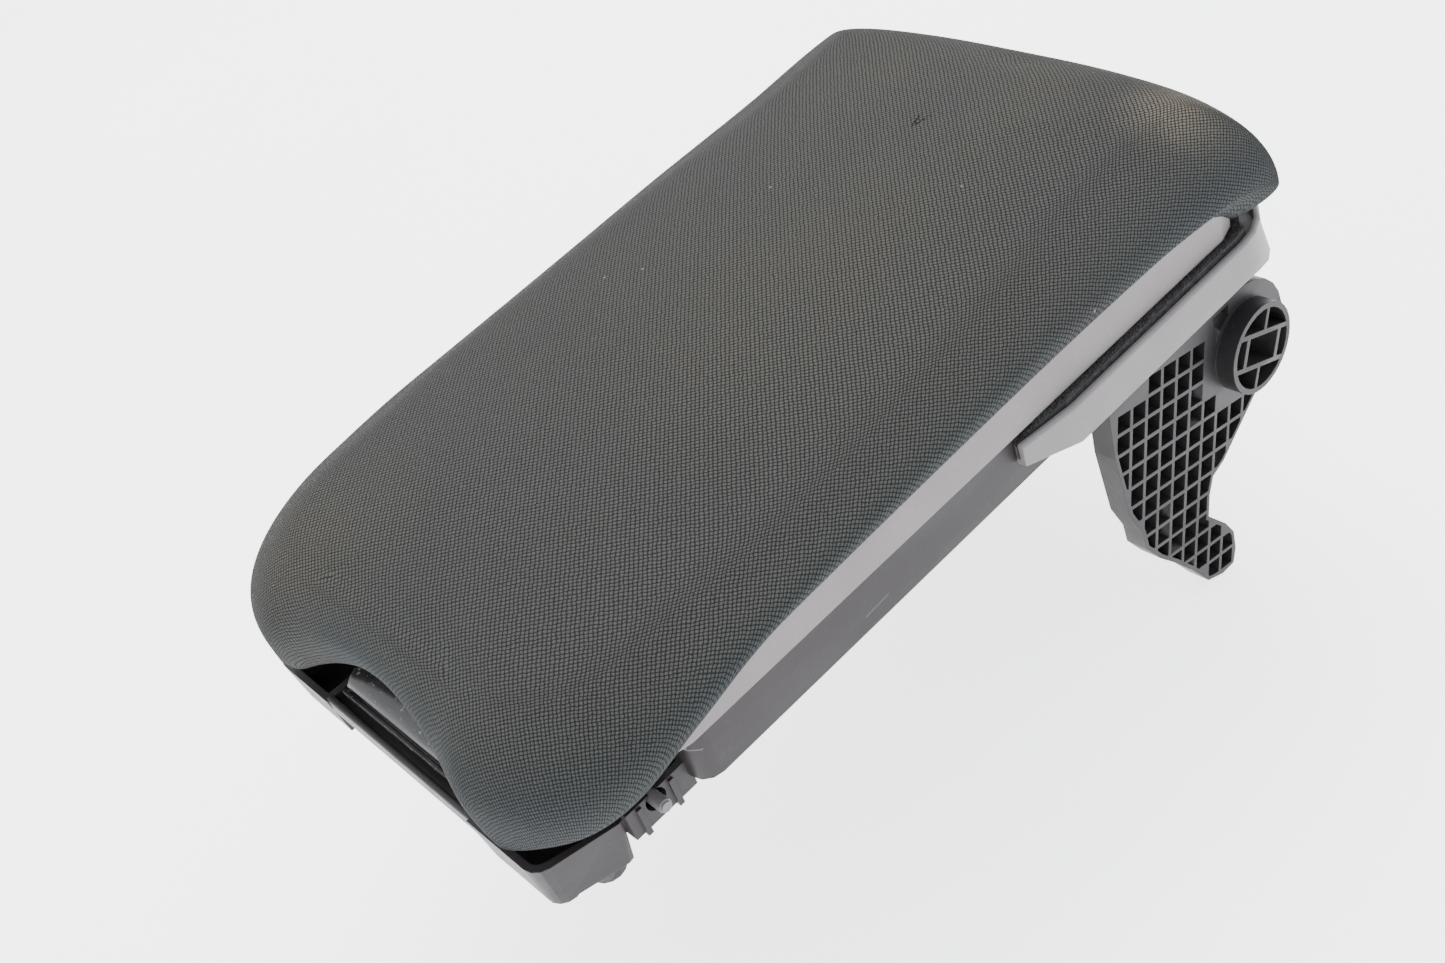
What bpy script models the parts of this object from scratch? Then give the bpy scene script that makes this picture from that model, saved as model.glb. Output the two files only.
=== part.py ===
"""Sliding armrest lid for a car's centre console, in metres, +Z up.

The origin is on the hinge axis, which runs along X through the bosses of the two hinge arms.
The lid lies level, as it does when it is closed, and its front points towards -Y.
"""
from math import acos, atan2, ceil, cos, hypot, pi, radians, sin

import bmesh
import bpy
from mathutils import Matrix, Vector

# Clearances
GAP = 0.0003
POINT_MERGE = 0.0004
RUNNING_GAP = 0.0005
BEARING_GAP = 0.00035
OVERSHOOT = 0.002
JOIN = 0.0006

# Base tray, measured from its front bar and its underside
BASE_LENGTH = 0.290
HINGE_INSET = 0.018
HINGE_DROP = 0.025
BASE_HALF_WIDTH = 0.082
BASE_HEIGHT = 0.0165
BASE_WALL = 0.0025
BASE_FLOOR = 0.0025
TRAY_START = 0.046
TRAY_FRONT_RADIUS = 0.006
TRAY_REAR_RADIUS = 0.020

# Nose, the narrower section that holds the latch bolts
NOSE_HALF_WIDTH = 0.0746
NOSE_START = 0.026
NOSE_DROP = 0.005
NOSE_HEIGHT = 0.0047
NOSE_WALL = 0.0022
NOSE_FLOOR = 0.0018
NOSE_RIB = 0.0016
NOSE_RIB_PROUD = 0.0009
NOSE_RIB_SPACING = 0.0110

# Corner blocks that hang below the nose
BLOCK_INNER = 0.036
BLOCK_OUTER_FRONT = 0.066
BLOCK_OUTER_REAR = 0.0726
BLOCK_FRONT = 0.001
BLOCK_REAR = 0.027
BLOCK_DROP = 0.0145
BLOCK_RIM = 0.0015
BLOCK_WALL = 0.0022
BLOCK_DRAFT = 0.0016
BLOCK_CORNER = 0.006
BLOCK_REAR_CORNER = 0.002
LOBE_DROP = 0.0175
LOBE_RADIUS = 0.0054
LOBE_INSET = 0.0075

# Front lip and the floor under the latch lever
LIP_FRONT = 0.0015
LIP_THICKNESS = 0.0022
LIP_DROP = 0.0035
LIP_RISE = 0.0020
LIP_ROUND = 0.0008
LIP_FLOOR = 0.0012

# Latch lever, its pivot and the bolts
PIVOT_FROM_FRONT = 0.020
PIVOT_HEIGHT = 0.0010
PIVOT_RADIUS = 0.00125
LEVER_HALF_WIDTH = 0.031
LEVER_FRONT = 0.0055
LEVER_BACK = 0.024
LEVER_STRIP_HEIGHT = 0.0050
LEVER_HEIGHT = 0.0096
LEVER_SKIN = 0.0020
LEVER_GROOVE = 0.0012
LEVER_STRIP_LENGTH = 0.0014
LEVER_STRIP_CHAMFER = 0.0004
LEVER_GROOVE_WIDTH = 0.0005
BARREL_RADIUS = 0.0029
BARREL_INNER = 0.012
BARREL_OUTER = 0.0345
EAR_THICKNESS = 0.0025
EAR_HALF_LENGTH = 0.005
EAR_TOP = 0.0055
BOLT_FROM_FRONT = 0.0353
BOLT_HEIGHT = 0.0017
BOLT_RADIUS = 0.0020
BOLT_REACH = 0.0790
BOLT_INNER = 0.0380
BOLT_HOLE_RADIUS = 0.0033
BOLT_TRAVEL = 0.0044
BOLT_TIP_STEP = 0.0004
BOLT_TIP_LENGTH = 0.0007
LEVER_ANGLE = 0.157
PEG_RADIUS = 0.0012
PEG_OFFSET = 0.022
YOKE_THICKNESS = 0.0020
YOKE_LENGTH = 0.006
YOKE_HALF_HEIGHT = 0.0016
YOKE_FRONT = 0.0014
PEG_MARGIN = 0.0007
SLOT_REACH = 2.2
WEB_THICKNESS = 0.0020
WEB_INNER = 0.012
WEB_TOP = 0.0062
WEB_BOTTOM = -0.0022
SLOT_CLEARANCE = 0.0004
GUIDE_THICKNESS = 0.0020
GUIDE_PLACES = (0.046, 0.060)

# Latch spring
SPRING_TURNS = 6
SPRING_WIRE = 0.0008
SPRING_PITCH = 0.0012
SPRING_REAR_LEG = 0.0066
SPRING_FRONT_LEG = 0.0083

# Slide rails and the shoes that run in them
RAIL_ARM_CLEARANCE = 0.0153
RAIL_WIDTH = 0.018
RAIL_HEIGHT = 0.0105
RAIL_SHEET = 0.0012
RAIL_SLOT = 0.008
RAIL_END_MARGIN = 0.008
SHOE_LENGTH = 0.026
SHOE_HEIGHT = 0.0068
SHOE_NECK = 0.0068
SLIDE_TRAVEL = 0.060
BUFFER_LENGTH = 0.004

# Armrest shell and the light band round its edge
SHELL_HALF_WIDTH = 0.0834
SHELL_GAP = 0.0005
SHELL_PLATE = 0.0024
SHELL_WALL = 0.0024
SHELL_FRONT = 0.014
SHELL_REAR_INSET = 0.002
SHELL_CORNER_WIDTH = 0.026
SHELL_REAR_WIDTH = 0.040
SHELL_REAR_LENGTH = 0.0215
SHELL_CHAMFER = 0.0008
BAND_RISE = 0.003

# Cushion: its foam and its fabric cover
CUSHION_HALF_WIDTH = 0.096
CUSHION_FRONT = -0.003
CUSHION_REAR = 0.295
CUSHION_EDGE_FRONT = 0.0285
CUSHION_EDGE_REAR = 0.0505
CUSHION_CROWN = 0.006
CUSHION_BOW = 0.004
CUSHION_POWER = 2.16
FRONT_CORNER_WIDTH = 0.056
FRONT_CORNER_LENGTH = 0.031
REAR_CORNER_WIDTH = 0.060
REAR_CORNER_LENGTH = 0.018
EDGE_ROUND_SIDE = 0.026
EDGE_ROUND_FRONT = 0.022
EDGE_ROUND_REAR = 0.009
EDGE_SHRINK = 0.35
CROWN_SHRINK = 0.6
CROWN_SPREAD = 0.7
CROWN_SHARES = (0.22, 0.5, 0.8)
COVER_THICKNESS = 0.0015
FOAM_GAP = 0.0008
WAIST = 0.45
HEM_FRONT = -0.0009
HEM_FRONT_HEIGHT = 0.0035
HEM_CORNER_WIDTH = 0.0262
HEM_CORNER_LENGTH = 0.048
HEM_POWER = 1.5
HEM_TUCK_START = 0.012
HEM_TUCK_POWER = 1.8
LENS_START = 0.047
LENS_START_HEIGHT = 0.0217
LENS_SHOULDER = 0.028
LENS_SHOULDER_HEIGHT = 0.027
LENS_HEIGHT = 0.032
LENS_END_INSET = 0.016
LENS_FALL = 0.049
HEM_REAR_HEIGHT = 0.0168
NOTCH_HALF_WIDTH = 0.048
NOTCH_DEPTH = 0.011
NOTCH_HEIGHT = 0.016
NOTCH_POWER = 1.5

# Rear collar and the pile strips on its ledge
COLLAR_LENGTH = 0.120
COLLAR_WIDTH = 0.0060
COLLAR_SHEET = 0.0020
COLLAR_TOP = 0.0156
COLLAR_BOTTOM = 0.0022
COLLAR_LEDGE = 0.0100
COLLAR_TAPER = 0.020
COLLAR_TAPER_WIDTH = 0.0034
COLLAR_FLARE = 0.0025
COLLAR_FLARE_DROP = 0.0050
COLLAR_FRONT_RISE = 0.0060
COLLAR_EDGE = 0.0008
PILE_HEIGHT = 0.0060
PILE_WIDTH = 0.0030
PILE_TOP_SHARE = 0.8
PILE_END_SHARE = 0.7

# Hinge arms
ARM_OUTER = 0.0828
ARM_THICKNESS = 0.0075
ARM_WEB = 0.0020
ARM_RIM = 0.0014
ARM_RIB = 0.0013
LATTICE_PITCH = 0.0072
LATTICE_ANGLE = 0.24
LATTICE_NODE = (-0.0454, -0.0082)
LATTICE_REACH = 0.11
LATTICE_TOP = 0.0185
LEAST_CELL = 0.32
MITRE_LIMIT = 0.4
POCKET_START = -0.0145
POCKET_TOP = 0.0035
POCKET_SLOPE = -0.30
POCKET_SPAN = radians(36)
BOSS_RADIUS = 0.015
BOSS_PROUD = 0.0063
BOSS_RIM = 0.0018
BOSS_DISC_RADIUS = 0.0205
BOSS_DISC_START = radians(-59)
BOSS_DISC_END = radians(95.7)
SOCKET_WIDTH = 0.0150
SOCKET_HEIGHT = 0.0092
SOCKET_ANGLE = radians(-23.5)
SOCKET_WALL = 0.0016
FLANGE_WIDTH = 0.016
FLANGE_THICKNESS = 0.0030
FLANGE_END_INSET = 0.012
ARM_FRONT = -0.0640
ARM_TOP_END = -0.0081
ARM_OUTLINE = (
    (-0.0650, 0.0037),
    (-0.0629, -0.0218),
    (-0.0589, -0.0322),
    (-0.0584, -0.0397),
    (-0.0529, -0.0488),
    (-0.0459, -0.0574),
    (-0.0389, -0.0671),
    (-0.0319, -0.0783),
    (-0.0244, -0.0818),
    (-0.0181, -0.0821),
    (-0.0161, -0.0767),
    (-0.0161, -0.0690),
    (-0.0196, -0.0622),
    (-0.0274, -0.0522),
    (-0.0256, -0.0442),
    (-0.0227, -0.0382),
    (-0.0166, -0.0362),
    (0.0012, -0.0239),
)

# Screws
SCREW_RADIUS = 0.0015
SCREW_HEAD_RADIUS = 0.0032
SCREW_HEAD_HEIGHT = 0.0016
SCREW_HEAD_FLAT = 0.7
SCREW_HEAD_RIM = 0.4
SCREW_LENGTH = 0.0085
SCREW_BOSS_RADIUS = 0.0034
SCREW_BOSS_HEIGHT = 0.0075
RAIL_SCREW_LENGTH = 0.0030
SHOE_SCREW_LENGTH = 0.0070

# Points along the cushion's outline in each stretch
FRONT_POINTS = 7
CORNER_POINTS = 5
SIDE_POINTS = 8
REAR_POINTS = 4

# Curve of the paddle, as distances behind its front edge and depths below its top
LEVER_TOP_CURVE = ((0.0120, 0.0), (0.0075, 0.0006), (0.0042, 0.0020))
LEVER_UNDER_CURVE = ((0.0050, 0.0022), (0.0080, 0.0006), (0.0120, 0.0))

# What follows from the sizes above
FRONT_Y = HINGE_INSET - BASE_LENGTH
SIDES = (("left", -1.0), ("right", 1.0))


def from_front(distance):
    """Y of a place that lies this far behind the front bar."""
    return FRONT_Y + distance


def above_base(height):
    """Z of a place that lies this far above the underside of the tray."""
    return HINGE_DROP + height


BOSS_OUTER = ARM_OUTER + BOSS_PROUD
ARM_SCREW_OFFSET = ARM_OUTER - ARM_THICKNESS - FLANGE_WIDTH / 2
RAIL_OFFSET = ARM_SCREW_OFFSET - RAIL_ARM_CLEARANCE
RAIL_BOTTOM = BASE_FLOOR + GAP
SHELL_BOTTOM = BASE_HEIGHT + SHELL_GAP
SHELL_TOP = SHELL_BOTTOM + SHELL_PLATE
SHELL_REAR = BASE_LENGTH - SHELL_REAR_INSET
LENS_END = BASE_LENGTH - LENS_END_INSET
BARREL_HOLE = PIVOT_RADIUS + BEARING_GAP
TRAY_FRONT_INNER = TRAY_START + BASE_WALL
SHELL_CORNER_LENGTH = HEM_FRONT + HEM_CORNER_LENGTH - SHELL_FRONT
RAIL_FRONT = TRAY_FRONT_INNER + RAIL_END_MARGIN
RAIL_REAR = BASE_LENGTH - BASE_WALL - RAIL_END_MARGIN
RAIL_SCREW_INSET = SCREW_HEAD_RADIUS + RUNNING_GAP
RAIL_SCREWS = (RAIL_FRONT + RAIL_SCREW_INSET, RAIL_REAR - RAIL_SCREW_INSET)
BUFFER_FRONT = RAIL_FRONT + 2 * RAIL_SCREW_INSET
BUFFER_REAR = RAIL_REAR - 2 * RAIL_SCREW_INSET - BUFFER_LENGTH
SHOE_FRONT = BUFFER_FRONT + BUFFER_LENGTH + RUNNING_GAP + SLIDE_TRAVEL + SHOE_LENGTH / 2
SHOE_REAR = BUFFER_REAR - RUNNING_GAP - SHOE_LENGTH / 2


def material(name, color, roughness, metallic=0.0):
    """A Principled material that several pieces may share."""
    found = bpy.data.materials.get(name)
    if found:
        return found
    made = bpy.data.materials.new(name)
    made.use_nodes = True
    shader = made.node_tree.nodes["Principled BSDF"]
    shader.inputs["Base Color"].default_value = (*color, 1.0)
    shader.inputs["Roughness"].default_value = roughness
    shader.inputs["Metallic"].default_value = metallic
    made.diffuse_color = (*color, 1.0)
    return made


def dress(obj, slot):
    """Gives the piece the material of its own slot."""
    colors = {
        "base_plastic": ((0.18, 0.17, 0.17), 0.50, 0.0),
        "collar_plastic": ((0.28, 0.27, 0.27), 0.45, 0.0),
        "band_plastic": ((0.30, 0.29, 0.29), 0.45, 0.0),
        "arm_plastic": ((0.12, 0.115, 0.115), 0.50, 0.0),
        "latch_plastic": ((0.02, 0.02, 0.02), 0.25, 0.0),
        "bolt_plastic": ((0.15, 0.145, 0.15), 0.45, 0.0),
        "shoe_plastic": ((0.55, 0.54, 0.50), 0.40, 0.0),
        "knit_fabric": ((0.05, 0.052, 0.05), 0.95, 0.0),
        "foam": ((0.55, 0.48, 0.25), 0.90, 0.0),
        "pile": ((0.01, 0.01, 0.01), 0.95, 0.0),
        "rubber": ((0.02, 0.02, 0.02), 0.80, 0.0),
        "steel": ((0.55, 0.55, 0.57), 0.35, 1.0),
    }
    color, roughness, metallic = colors[slot]
    obj.data.materials.clear()
    obj.data.materials.append(material(slot, color, roughness, metallic))


def new_object(name, bm):
    """Closes a bmesh into an object whose faces point outwards."""
    bmesh.ops.recalc_face_normals(bm, faces=bm.faces)
    mesh = bpy.data.meshes.new(name)
    bm.to_mesh(mesh)
    bm.free()
    obj = bpy.data.objects.new(name, mesh)
    bpy.context.scene.collection.objects.link(obj)
    return obj


def prism(outline, axis, low, high):
    """A straight solid from low to high along an axis.

    The outline gives the two other coordinates, in the order of their letters.
    """
    place = {
        "x": lambda u, v, w: (w, u, v),
        "y": lambda u, v, w: (u, w, v),
        "z": lambda u, v, w: (u, v, w),
    }[axis]
    bm = bmesh.new()
    rings = []
    for level in (low, high):
        rings.append([bm.verts.new(place(u, v, level)) for u, v in outline])
    bm.faces.new(rings[0])
    bm.faces.new(rings[1])
    count = len(outline)
    for i in range(count):
        j = (i + 1) % count
        bm.faces.new((rings[0][i], rings[0][j], rings[1][j], rings[1][i]))
    return new_object("prism_" + axis, bm)


def skin(bm, first, second):
    """Joins two rings with triangles, split alike on both sides, so that nested skins stay apart."""
    count = len(first)
    for i in range(count):
        j = (i + 1) % count
        if first[i].co.x + first[j].co.x > 0:
            bm.faces.new((first[i], first[j], second[j]))
            bm.faces.new((first[i], second[j], second[i]))
        else:
            bm.faces.new((first[i], first[j], second[i]))
            bm.faces.new((first[j], second[j], second[i]))


def loft(name, rings, caps=True):
    """Skins a row of rings that have the same number of points."""
    bm = bmesh.new()
    loops = [[bm.verts.new(point) for point in ring] for ring in rings]
    if caps:
        bm.faces.new(loops[0])
        bm.faces.new(loops[-1])
    pairs = list(zip(loops, loops[1:]))
    if not caps:
        pairs.append((loops[-1], loops[0]))
    for first, second in pairs:
        skin(bm, first, second)
    bmesh.ops.remove_doubles(bm, verts=bm.verts, dist=1e-6)
    return new_object(name, bm)


def box(x_range, y_range, z_range):
    """A block between three pairs of limits."""
    corners = [
        (x_range[0], y_range[0]),
        (x_range[1], y_range[0]),
        (x_range[1], y_range[1]),
        (x_range[0], y_range[1]),
    ]
    return prism(corners, "z", z_range[0], z_range[1])


def disc_outline(center, radius, count):
    """Points round a circle."""
    return [
        (center[0] + radius * cos(2 * pi * i / count), center[1] + radius * sin(2 * pi * i / count))
        for i in range(count)
    ]


def rounded_outline(corners):
    """An outline whose corners are arcs: each corner is (x, y, radius, points)."""
    points = []
    count = len(corners)
    for i, (x, y, radius, steps) in enumerate(corners):
        here = Vector((x, y))
        if radius <= 0 or steps < 2:
            points.append((x, y))
            continue
        before = (Vector(corners[i - 1][:2]) - here).normalized()
        after = (Vector(corners[(i + 1) % count][:2]) - here).normalized()
        half = before.angle(after) / 2
        center = here + (before + after).normalized() * (radius / sin(half))
        reach = radius * cos(half) / sin(half)
        start = here + before * reach - center
        end = here + after * reach - center
        a0 = atan2(start.y, start.x)
        sweep = (atan2(end.y, end.x) - a0 + pi) % (2 * pi) - pi
        for k in range(steps):
            a = a0 + sweep * k / (steps - 1)
            points.append((center.x + radius * cos(a), center.y + radius * sin(a)))
    return points


def combine(name, solids, cutters=(), extra=(), holes=()):
    """Joins solids, cuts them, joins the extra solids to the result and then cuts the holes."""
    base = solids[0]
    steps = [("UNION", s) for s in solids[1:]]
    steps += [("DIFFERENCE", c) for c in cutters]
    steps += [("UNION", e) for e in extra]
    steps += [("DIFFERENCE", h) for h in holes]
    for operation, tool in steps:
        modifier = base.modifiers.new(operation.lower(), "BOOLEAN")
        modifier.operation = operation
        modifier.solver = "EXACT"
        modifier.object = tool
    graph = bpy.context.evaluated_depsgraph_get()
    mesh = bpy.data.meshes.new_from_object(base.evaluated_get(graph))
    for used in [base] + [tool for _, tool in steps]:
        bpy.data.objects.remove(used)
    bm = bmesh.new()
    bm.from_mesh(mesh)
    bpy.data.meshes.remove(mesh)
    bmesh.ops.remove_doubles(bm, verts=bm.verts, dist=2e-6)
    bmesh.ops.dissolve_degenerate(bm, edges=bm.edges, dist=2e-6)
    bmesh.ops.dissolve_limit(bm, angle_limit=radians(0.3), verts=bm.verts, edges=bm.edges)
    return new_object(name, bm)


def mirrored(obj, name):
    """A copy of a right-hand piece for the left side."""
    bm = bmesh.new()
    bm.from_mesh(obj.data)
    bmesh.ops.scale(bm, vec=(-1.0, 1.0, 1.0), verts=bm.verts)
    bmesh.ops.reverse_faces(bm, faces=bm.faces)
    return new_object(name, bm)


def smooth(obj, angle=35.0):
    """Shades the round parts of a piece smooth and keeps its sharp edges."""
    obj.data.shade_smooth()
    obj.data.set_sharp_from_angle(angle=radians(angle))


def set_origin(obj, x, y, z):
    """Puts the piece's origin on its joint's axis and leaves its shape where it is."""
    obj.data.transform(Matrix.Translation((-x, -y, -z)))
    obj.location = (x, y, z)


def super_quarter(count, power):
    """Points of a quarter of a superellipse, from (0, 1) to (1, 0), without the last."""
    points = []
    for i in range(count):
        a = pi / 2 * i / count
        points.append((sin(a) ** (2 / power), cos(a) ** (2 / power)))
    return points


def cushion_outline(half_width, front, rear, front_corner, rear_corner, power, bow=0.0):
    """The right half of a plan outline, from the middle of the front to the middle of the rear.

    Distances along Y count from the front bar. All outlines made here have the same number of
    points, so that they can be skinned together.
    """
    points = []
    straight = half_width - front_corner[0]
    for i in range(FRONT_POINTS):
        x = straight * i / FRONT_POINTS
        points.append((x, front + bow * (x / half_width) ** 2))
    start = front + bow * (straight / half_width) ** 2
    for across, along in super_quarter(CORNER_POINTS, power):
        points.append((straight + front_corner[0] * across, start + front_corner[1] * (1 - along)))
    first = start + front_corner[1]
    last = rear - rear_corner[1]
    for i in range(SIDE_POINTS):
        points.append((half_width, first + (last - first) * i / SIDE_POINTS))
    for across, along in super_quarter(CORNER_POINTS, 2.0):
        x = half_width - rear_corner[0] * (1 - along)
        points.append((x, last + rear_corner[1] * across))
    for i in range(REAR_POINTS + 1):
        points.append(((half_width - rear_corner[0]) * (1 - i / REAR_POINTS), rear))
    return points


def closed_ring(half, heights):
    """Both halves of a ring, in the part's frame."""
    right = [(x, from_front(y), above_base(z)) for (x, y), z in zip(half, heights)]
    left = [(-x, y, z) for x, y, z in reversed(right[1:-1])]
    return right + left


def top_edge(y):
    """Height of the cushion's top edge at a distance from the front bar."""
    share = (y - CUSHION_FRONT) / (CUSHION_REAR - CUSHION_FRONT)
    return CUSHION_EDGE_FRONT + (CUSHION_EDGE_REAR - CUSHION_EDGE_FRONT) * share


def lens_height(y):
    """Height of the fabric's lower edge along the side, where it frames the light band."""
    if y <= HEM_TUCK_START:
        return HEM_FRONT_HEIGHT
    if y <= LENS_START:
        share = (y - HEM_TUCK_START) / (LENS_START - HEM_TUCK_START)
        return HEM_FRONT_HEIGHT + (LENS_START_HEIGHT - HEM_FRONT_HEIGHT) * share ** HEM_TUCK_POWER
    shoulder = LENS_START + LENS_SHOULDER
    if y <= shoulder:
        share = (y - LENS_START) / LENS_SHOULDER
        return LENS_START_HEIGHT + (LENS_SHOULDER_HEIGHT - LENS_START_HEIGHT) * sin(pi / 2 * share)
    fall = LENS_END - LENS_FALL
    if y <= fall:
        share = (y - shoulder) / (fall - shoulder)
        return LENS_SHOULDER_HEIGHT + (LENS_HEIGHT - LENS_SHOULDER_HEIGHT) * share
    share = min(1.0, (y - fall) / LENS_FALL)
    return LENS_HEIGHT - (LENS_HEIGHT - HEM_REAR_HEIGHT) * share ** 4


def notch_share(x):
    """How deep the finger notch is at this distance from the middle, from 0 to 1."""
    u = min(1.0, abs(x) / NOTCH_HALF_WIDTH)
    return (1 - u * u) ** NOTCH_POWER


def hem_outline(inset):
    """Plan and heights of the fabric's lower edge, with the finger notch at the front.

    The inset moves its front inwards, and leaves its sides and rear against the shell.
    """
    half = cushion_outline(
        SHELL_HALF_WIDTH + RUNNING_GAP,
        HEM_FRONT + inset,
        SHELL_REAR + RUNNING_GAP,
        (HEM_CORNER_WIDTH, HEM_CORNER_LENGTH - inset),
        (SHELL_REAR_WIDTH + RUNNING_GAP, SHELL_REAR_LENGTH + RUNNING_GAP),
        HEM_POWER,
    )
    heights = [lens_height(y) for _, y in half]
    for i in range(FRONT_POINTS + 1):
        x, y = half[i]
        half[i] = (x, y + NOTCH_DEPTH * notch_share(x))
        heights[i] += NOTCH_HEIGHT * notch_share(x)
    return half, heights


def cushion_rings(inset):
    """Rings of the cushion's outer form, moved inwards by inset, from the hem to the crown."""
    hem, hem_heights = hem_outline(inset)
    corner_front = (FRONT_CORNER_WIDTH, FRONT_CORNER_LENGTH)
    corner_rear = (REAR_CORNER_WIDTH, REAR_CORNER_LENGTH)

    def plan(side, front, rear, shrink):
        keep = 1 - shrink
        return cushion_outline(
            CUSHION_HALF_WIDTH - side,
            CUSHION_FRONT + front,
            CUSHION_REAR - rear,
            (corner_front[0] * keep, corner_front[1] * keep),
            (corner_rear[0] * keep, corner_rear[1] * keep),
            CUSHION_POWER,
            CUSHION_BOW * keep,
        )

    wide = plan(inset, inset, inset, inset / REAR_CORNER_LENGTH * 0.5)
    tops = [top_edge(y) for _, y in wide]
    waists = [low + WAIST * (top - low) for low, top in zip(hem_heights, tops)]
    rings = []
    for angle in (0, 30, 60):
        reach = sin(radians(angle))
        rise = 1 - cos(radians(angle))
        half = [
            (hx + (wx - hx) * reach, hy + (wy - hy) * reach)
            for (hx, hy), (wx, wy) in zip(hem, wide)
        ]
        heights = [
            low + inset + (waist - low - inset) * rise
            for low, waist in zip(hem_heights, waists)
        ]
        rings.append(closed_ring(half, heights))
    for angle in (0, 22.5, 45, 67.5, 90):
        pull = 1 - cos(radians(angle))
        side = inset + (EDGE_ROUND_SIDE - inset) * pull
        front = inset + (EDGE_ROUND_FRONT - inset) * pull
        rear = inset + (EDGE_ROUND_REAR - inset) * pull
        half = plan(side, front, rear, EDGE_SHRINK * pull)
        heights = [
            waist + (top_edge(y) - inset - waist) * sin(radians(angle))
            for waist, (_, y) in zip(waists, half)
        ]
        rings.append(closed_ring(half, heights))
    for share in CROWN_SHARES:
        side = EDGE_ROUND_SIDE + (CUSHION_HALF_WIDTH - EDGE_ROUND_SIDE) * share
        front = EDGE_ROUND_FRONT + CUSHION_HALF_WIDTH * CROWN_SPREAD * share
        rear = EDGE_ROUND_REAR + CUSHION_HALF_WIDTH * CROWN_SPREAD * share
        half = plan(side, front, rear, EDGE_SHRINK + CROWN_SHRINK * share)
        crown = CUSHION_CROWN * sin(pi / 2 * share / CROWN_SHARES[-1])
        heights = [top_edge(y) - inset + crown for _, y in half]
        rings.append(closed_ring(half, heights))
    return rings


def shell_outline(inset):
    """Plan of the armrest shell's edge, moved inwards by inset."""
    return cushion_outline(
        SHELL_HALF_WIDTH - inset,
        SHELL_FRONT + inset,
        SHELL_REAR - inset,
        (SHELL_CORNER_WIDTH - inset, SHELL_CORNER_LENGTH - inset),
        (SHELL_REAR_WIDTH - inset, SHELL_REAR_LENGTH - inset),
        HEM_POWER,
    )


def band_heights(outline, extra=0.0):
    """Height of the shell's rim, a little above the fabric's lower edge."""
    lowest = SHELL_TOP + BAND_RISE
    return [max(lowest, lens_height(y) + BAND_RISE) + extra for _, y in outline]


def tray_outline(inset):
    """Plan of the tray's wall, moved inwards by inset."""
    front = from_front(TRAY_START) + inset
    rear = from_front(BASE_LENGTH) - inset
    side = BASE_HALF_WIDTH - inset
    corners = [
        (-side, front, TRAY_FRONT_RADIUS - inset / 2, 4),
        (side, front, TRAY_FRONT_RADIUS - inset / 2, 4),
        (side, rear, TRAY_REAR_RADIUS - inset, 6),
        (-side, rear, TRAY_REAR_RADIUS - inset, 6),
    ]
    return rounded_outline(corners)


def block_outline(side, inset):
    """Plan of a corner block."""
    corners = [
        (BLOCK_INNER + inset, from_front(BLOCK_FRONT) + inset, 0.0, 1),
        (BLOCK_OUTER_FRONT - inset, from_front(BLOCK_FRONT) + inset, BLOCK_CORNER - inset, 4),
        (BLOCK_OUTER_REAR - inset, from_front(BLOCK_REAR) - inset, BLOCK_REAR_CORNER, 3),
        (BLOCK_INNER + inset, from_front(BLOCK_REAR) - inset, 0.0, 1),
    ]
    return [(side * x, y) for x, y in rounded_outline(corners)]


def corner_block(side):
    """A corner block with its draft."""
    rings = []
    for inset, height in ((BLOCK_DRAFT, -BLOCK_DROP), (0.0, BLOCK_RIM)):
        rings.append([(x, y, above_base(height)) for x, y in block_outline(side, inset)])
    return loft("block", rings)


def block_lobes(side):
    """The two round feet under a corner block."""
    low = above_base(-LOBE_DROP)
    high = above_base(-BLOCK_DROP + BLOCK_WALL / 2)
    front_lobe = (
        side * (BLOCK_OUTER_FRONT - LOBE_INSET),
        from_front(BLOCK_FRONT + LOBE_INSET),
    )
    rear_lobe = (
        side * (BLOCK_OUTER_REAR - LOBE_INSET - BLOCK_DRAFT),
        from_front(BLOCK_REAR - LOBE_INSET),
    )
    return [prism(disc_outline(c, LOBE_RADIUS, 14), "z", low, high) for c in (front_lobe, rear_lobe)]


def nose_ribs(side):
    """Two upright ribs beside each bolt hole."""
    made = []
    for offset in (-NOSE_RIB_SPACING / 2, NOSE_RIB_SPACING / 2):
        y = from_front(BOLT_FROM_FRONT) + offset
        x = sorted((side * (NOSE_HALF_WIDTH - JOIN), side * (NOSE_HALF_WIDTH + NOSE_RIB_PROUD)))
        z = (above_base(-NOSE_DROP - NOSE_RIB_PROUD), above_base(NOSE_HEIGHT) - JOIN)
        made.append(box(x, (y - NOSE_RIB / 2, y + NOSE_RIB / 2), z))
    return made


def arm_screw_places():
    """Where the two screws of a right-hand hinge arm stand."""
    first = ARM_FRONT + FLANGE_END_INSET
    last = -FLANGE_END_INSET
    return [(ARM_SCREW_OFFSET, first), (ARM_SCREW_OFFSET, last)]


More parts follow.
